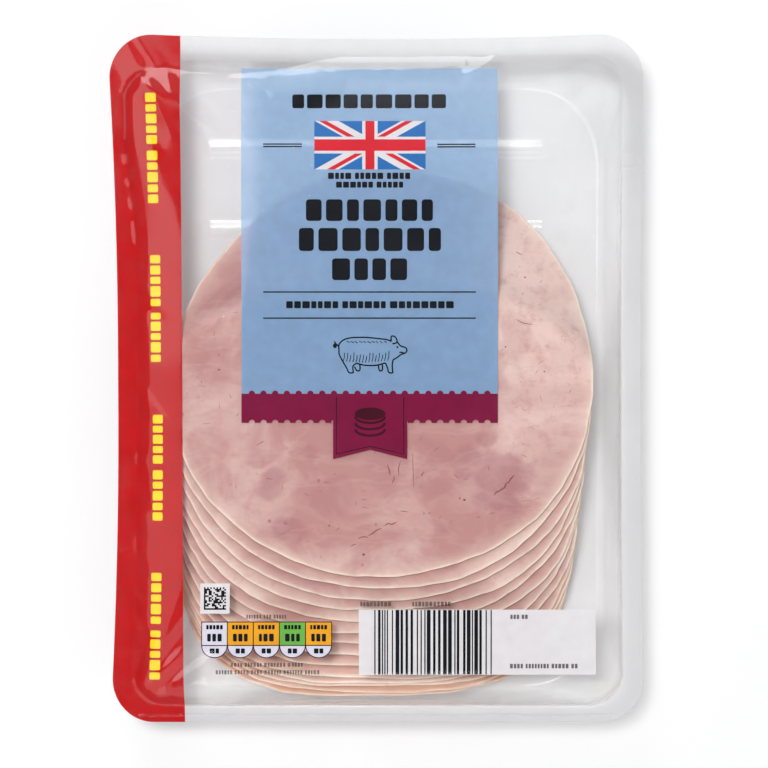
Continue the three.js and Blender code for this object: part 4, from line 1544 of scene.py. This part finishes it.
softbox("key_above", (-0.155, 0.158, 1.15), (0.24, 0.24), 8.8, mirrored=False)
softbox("ceiling", (0.0, 0.05, 1.6), (1.8, 1.8), 2.9, mirrored=False)
softbox("strip_far", (-0.16, 1.24, 0.78), (0.78, 0.9), 13.0, lit=False)
softbox("fill_far", (-0.2, 1.1, 1.0), (0.5, 0.5), 2.6, mirrored=False)
softbox("fill_near", (0.1, -0.8, 0.95), (1.3, 0.6), 2.5)
softbox("fill_right", (1.0, -0.35, 0.95), (1.2, 1.2), 2.0)
softbox("fill_left", (-1.15, 0.0, 0.62), (1.0, 1.0), 1.2, mirrored=False)
softbox("pane_upper_left", (-0.66, 0.66, 1.2), (0.82, 1.26), 7.0, faces_down=True, lit=False)
softbox("pane_lower_left", (-0.66, -0.6, 1.2), (0.82, 1.26), 3.8, faces_down=True, lit=False)
softbox("pane_near", (-0.015, -0.63, 1.2), (0.22, 0.3), 0.65, faces_down=True, lit=False)
print(len(bpy.data.lights), "lamps")

# %% A room that is pale all round, but dark on the left and straight above, where the camera hangs
ROOM_COLOUR = (0.97, 0.98, 1.0, 1)
UPWARD_FADE, LEFT_FADE = (0.55, 0.93, 0.32, 0.03), (-0.85, -0.2, 0.3, 1.0)
GLOW_ABOVE, GLOW_BEYOND, GLOW_RIGHT_OF = (0.88, 0.95), (0.03, 0.26, 0, 1.0), (-0.11, -0.06)
world = bpy.data.worlds.new("studio")
room = Tree(world)
apart = room.add("SeparateXYZ", {0: room.add("TexCoord").outputs["Generated"]})
across, along, up = apart.outputs
walls = room.maths("MULTIPLY", room.ramp(up, *UPWARD_FADE), room.ramp(across, *LEFT_FADE))
off_middle = room.maths("MULTIPLY", room.ramp(along, *GLOW_BEYOND), room.ramp(across, *GLOW_RIGHT_OF))
glow = room.maths("MULTIPLY", room.ramp(up, *GLOW_ABOVE), off_middle)
background = room.nodes["Background"]
background.inputs["Color"].default_value = ROOM_COLOUR
room.feed(background.inputs["Strength"], room.maths("ADD", walls, glow))
print(len(room.nodes), "nodes light the room")

# %% [markdown]
# ### Camera
#
# The photo shows the sides of the tray only a little, as a long lens does from straight above. Clear
# plastic lies in many layers, so light paths may cross more see-through surfaces than usual.

# %% The camera and the light paths
CAMERA_DISTANCE, VIEW_WIDTH, SENSOR_WIDTH = 0.7, 0.2302, 36.0
CAMERA_X, CAMERA_Y = 0.0023, -0.0017
scene = bpy.context.scene
scene.world = world
scene.view_settings.view_transform = "Standard"
scene.cycles.transparent_max_bounces = 16
scene.cycles.max_bounces = 6
scene.cycles.diffuse_bounces = 3
scene.cycles.glossy_bounces = 2
camera_data = bpy.data.cameras.new("camera")
camera_data.sensor_width = SENSOR_WIDTH
camera_data.lens = SENSOR_WIDTH * CAMERA_DISTANCE / VIEW_WIDTH
camera = bpy.data.objects.new("camera", camera_data)
camera.location = (CAMERA_X, CAMERA_Y, FLANGE_TOP * MM + CAMERA_DISTANCE)
scene.collection.objects.link(camera)
scene.camera = camera
print(f"camera with a lens of {camera_data.lens:.0f} mm")
